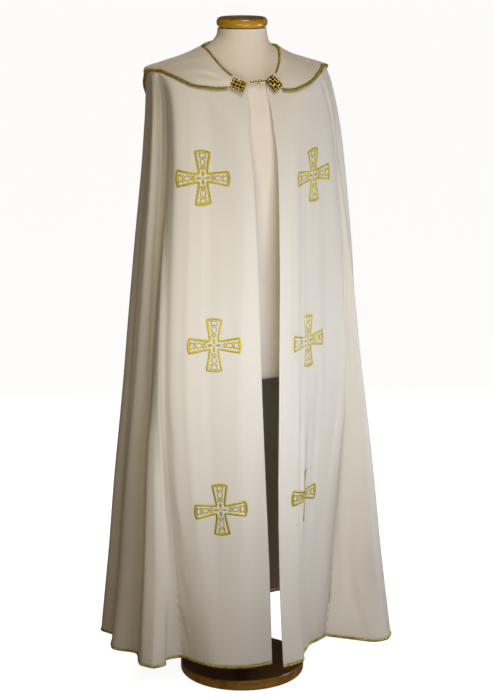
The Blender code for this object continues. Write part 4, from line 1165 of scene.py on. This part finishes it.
def new_wood(name, pale_hex, dark_hex, grain, coat, shade_low, shade_high):
    """Varnished wood, its grain along X: growth rings cut flat, fine pores, the top face darker with
    painted shade. The painted shade sets in between two heights at the upper rim.
    """
    made, tree, shader = new_material(name)
    place = add_node(tree, "TexCoord").outputs["Object"]
    ring_lie = add_node(tree, "Mapping", {"Vector": place, "Scale": RING_CELLS})
    rings = add_node(tree, "TexNoise", {
        "Vector": ring_lie.outputs["Vector"], "Scale": grain, "Detail": 5.0, "Roughness": 0.6,
        "Distortion": 0.8})
    pore_lie = add_node(tree, "Mapping", {"Vector": place, "Scale": PORE_CELLS})
    pores = add_node(tree, "TexNoise", {
        "Vector": pore_lie.outputs["Vector"], "Scale": 1.0, "Detail": 2.0})
    mixed = add_node(tree, "Math", {0: pores.outputs["Fac"], 1: 0.35, 2: rings.outputs["Fac"]},
                     operation="MULTIPLY_ADD")
    colour = add_node(tree, "ValToRGB", {"Fac": mixed.outputs["Value"]},
                      ((0.50, dark_hex), (0.88, pale_hex)))
    height = add_node(tree, "SeparateXYZ", {"Vector": place}).outputs["Z"]
    # Painted shade: the colour on the top face is darkened between two heights.
    top_shade = add_node(tree, "MapRange", {
        "Value": height, "From Min": shade_low, "From Max": shade_high})
    darker = add_node(tree, "MixRGB", {
        "Fac": top_shade.outputs["Result"], "Color1": colour.outputs["Color"],
        "Color2": linear(TOP_PAINTED_SHADE)}, blend_type="MULTIPLY")
    pore_bump = add_node(tree, "Bump", {
        "Height": mixed.outputs["Value"], "Strength": 0.15, "Distance": 0.0003})
    feed(tree, shader, {
        "Base Color": darker.outputs["Color"], "Normal": pore_bump.outputs["Normal"],
        "Roughness": 0.38, "Coat Weight": coat, "Coat Roughness": 0.12})
    return made


GOLDEN_WOOD = new_wood("golden varnished pine", "#E2AC18", "#A2760A", grain=11.0, coat=0.6,
                       shade_low=1.592, shade_high=1.5995)
DARK_WOOD = new_wood("dark stained beech", "#CE9832", "#7E5814", grain=7.0, coat=0.4,
                     shade_low=0.021, shade_high=0.0275)


def add_turned(name, node, radius, low, high, rim, wood):
    """A turned disc or pole, its edges rounded."""
    bpy.ops.mesh.primitive_cylinder_add(vertices=TURNED_SIDES, radius=radius, depth=high - low,
                                        location=(0, 0, (low + high) / 2))
    made = bpy.context.object
    made.name = name
    bpy.ops.object.transform_apply(location=True, rotation=False, scale=False)
    edges = made.modifiers.new("rounded edges", "BEVEL")
    edges.width = rim
    edges.segments = RIM_STEPS
    edges.limit_method = "ANGLE"
    edges.angle_limit = SHARP_RIM
    bpy.ops.object.modifier_apply(modifier=edges.name)
    bpy.ops.object.shade_smooth_by_angle(angle=SMOOTH_BELOW)
    made.data.materials.append(wood)
    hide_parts(node)
    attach(made, "root")


add_turned("neck_cap_disc", "form_neck_cap", radius=0.059, low=1.5755, high=1.600, rim=0.0115,
           wood=GOLDEN_WOOD)
add_turned("stand_pole", "form_pole", radius=0.019, low=0.0283, high=0.7597, rim=0.001,
           wood=DARK_WOOD)
add_turned("stand_disc", "form_base", radius=0.152, low=0, high=0.028, rim=0.007,
           wood=DARK_WOOD)

# ---------------------------------------------------------------- stage and lights
# A plain pale floor and a round backdrop far off, bright of themselves. A soft key light stands
# close in front with a fill beside it, one at the wearer's left, one high in front and a broad one
# behind, and the sky is dim and even.
FLOOR_WIDE = 120
BACKDROP_RADIUS, BACKDROP_HIGH = 55, 80
bpy.ops.mesh.primitive_plane_add(size=FLOOR_WIDE)
floor = bpy.context.object
floor.name = "floor"
PALE_FLOOR, tree, shader = new_material("pale matt floor")
feed(tree, shader, {
    "Base Color": linear("#B9B9B9"), "Roughness": 0.9, "Specular IOR Level": 0.1,
    "Emission Color": linear("#FFFFFF"), "Emission Strength": 0.93})
bpy.ops.mesh.primitive_cylinder_add(vertices=96, radius=BACKDROP_RADIUS, depth=BACKDROP_HIGH,
                                    end_fill_type="NOTHING")
backdrop = bpy.context.object
backdrop.name = "backdrop"
backdrop.visible_shadow = False
for screen in (floor, backdrop):
    screen.data.materials.append(PALE_FLOOR)
    screen.visible_diffuse = False
    screen.visible_glossy = False


def add_softbox(name, place, aim, size, watts, hex_colour):
    """A square light aimed at a point. Only those in front give a gleam."""
    turn = (Vector(aim) - Vector(place)).to_track_quat("-Z", "Y").to_euler()
    bpy.ops.object.light_add(type="AREA", location=place, rotation=turn)
    light = bpy.context.object
    light.name = name
    light.data.size = size
    light.data.energy = watts
    light.data.color = linear(hex_colour)[:3]
    light.visible_camera = False
    in_front = place[1] < 0
    light.visible_glossy = in_front


add_softbox("key softbox", (0.02, -0.95, 0.85), (0, 0, 0.85), 0.5, 4.6, "#EEF2FF")
add_softbox("fill softbox", (-0.62, -1.25, 1.05), (0, 0, 1.00), 0.5, 4.2, "#FFF6CC")
add_softbox("side softbox", (1.35, -0.36, 0.82), (0, 0, 0.82), 0.5, 6.6, "#F7FBFF")
add_softbox("top softbox", (0.05, -0.70, 2.75), (0, 0, 1.30), 0.5, 8.4, "#FFF8EA")
add_softbox("back softbox", (0.5, 1.9, 1.7), (0, 0, 0.8), 1.2, 34, "#FFF8EC")

sky = bpy.data.worlds.new("studio")
bpy.context.scene.world = sky
sky.use_nodes = True
feed(sky.node_tree, sky.node_tree.nodes["Background"], {
    "Color": linear("#FFDEC8"), "Strength": 0.102})
bpy.context.scene.view_settings.view_transform = "Standard"
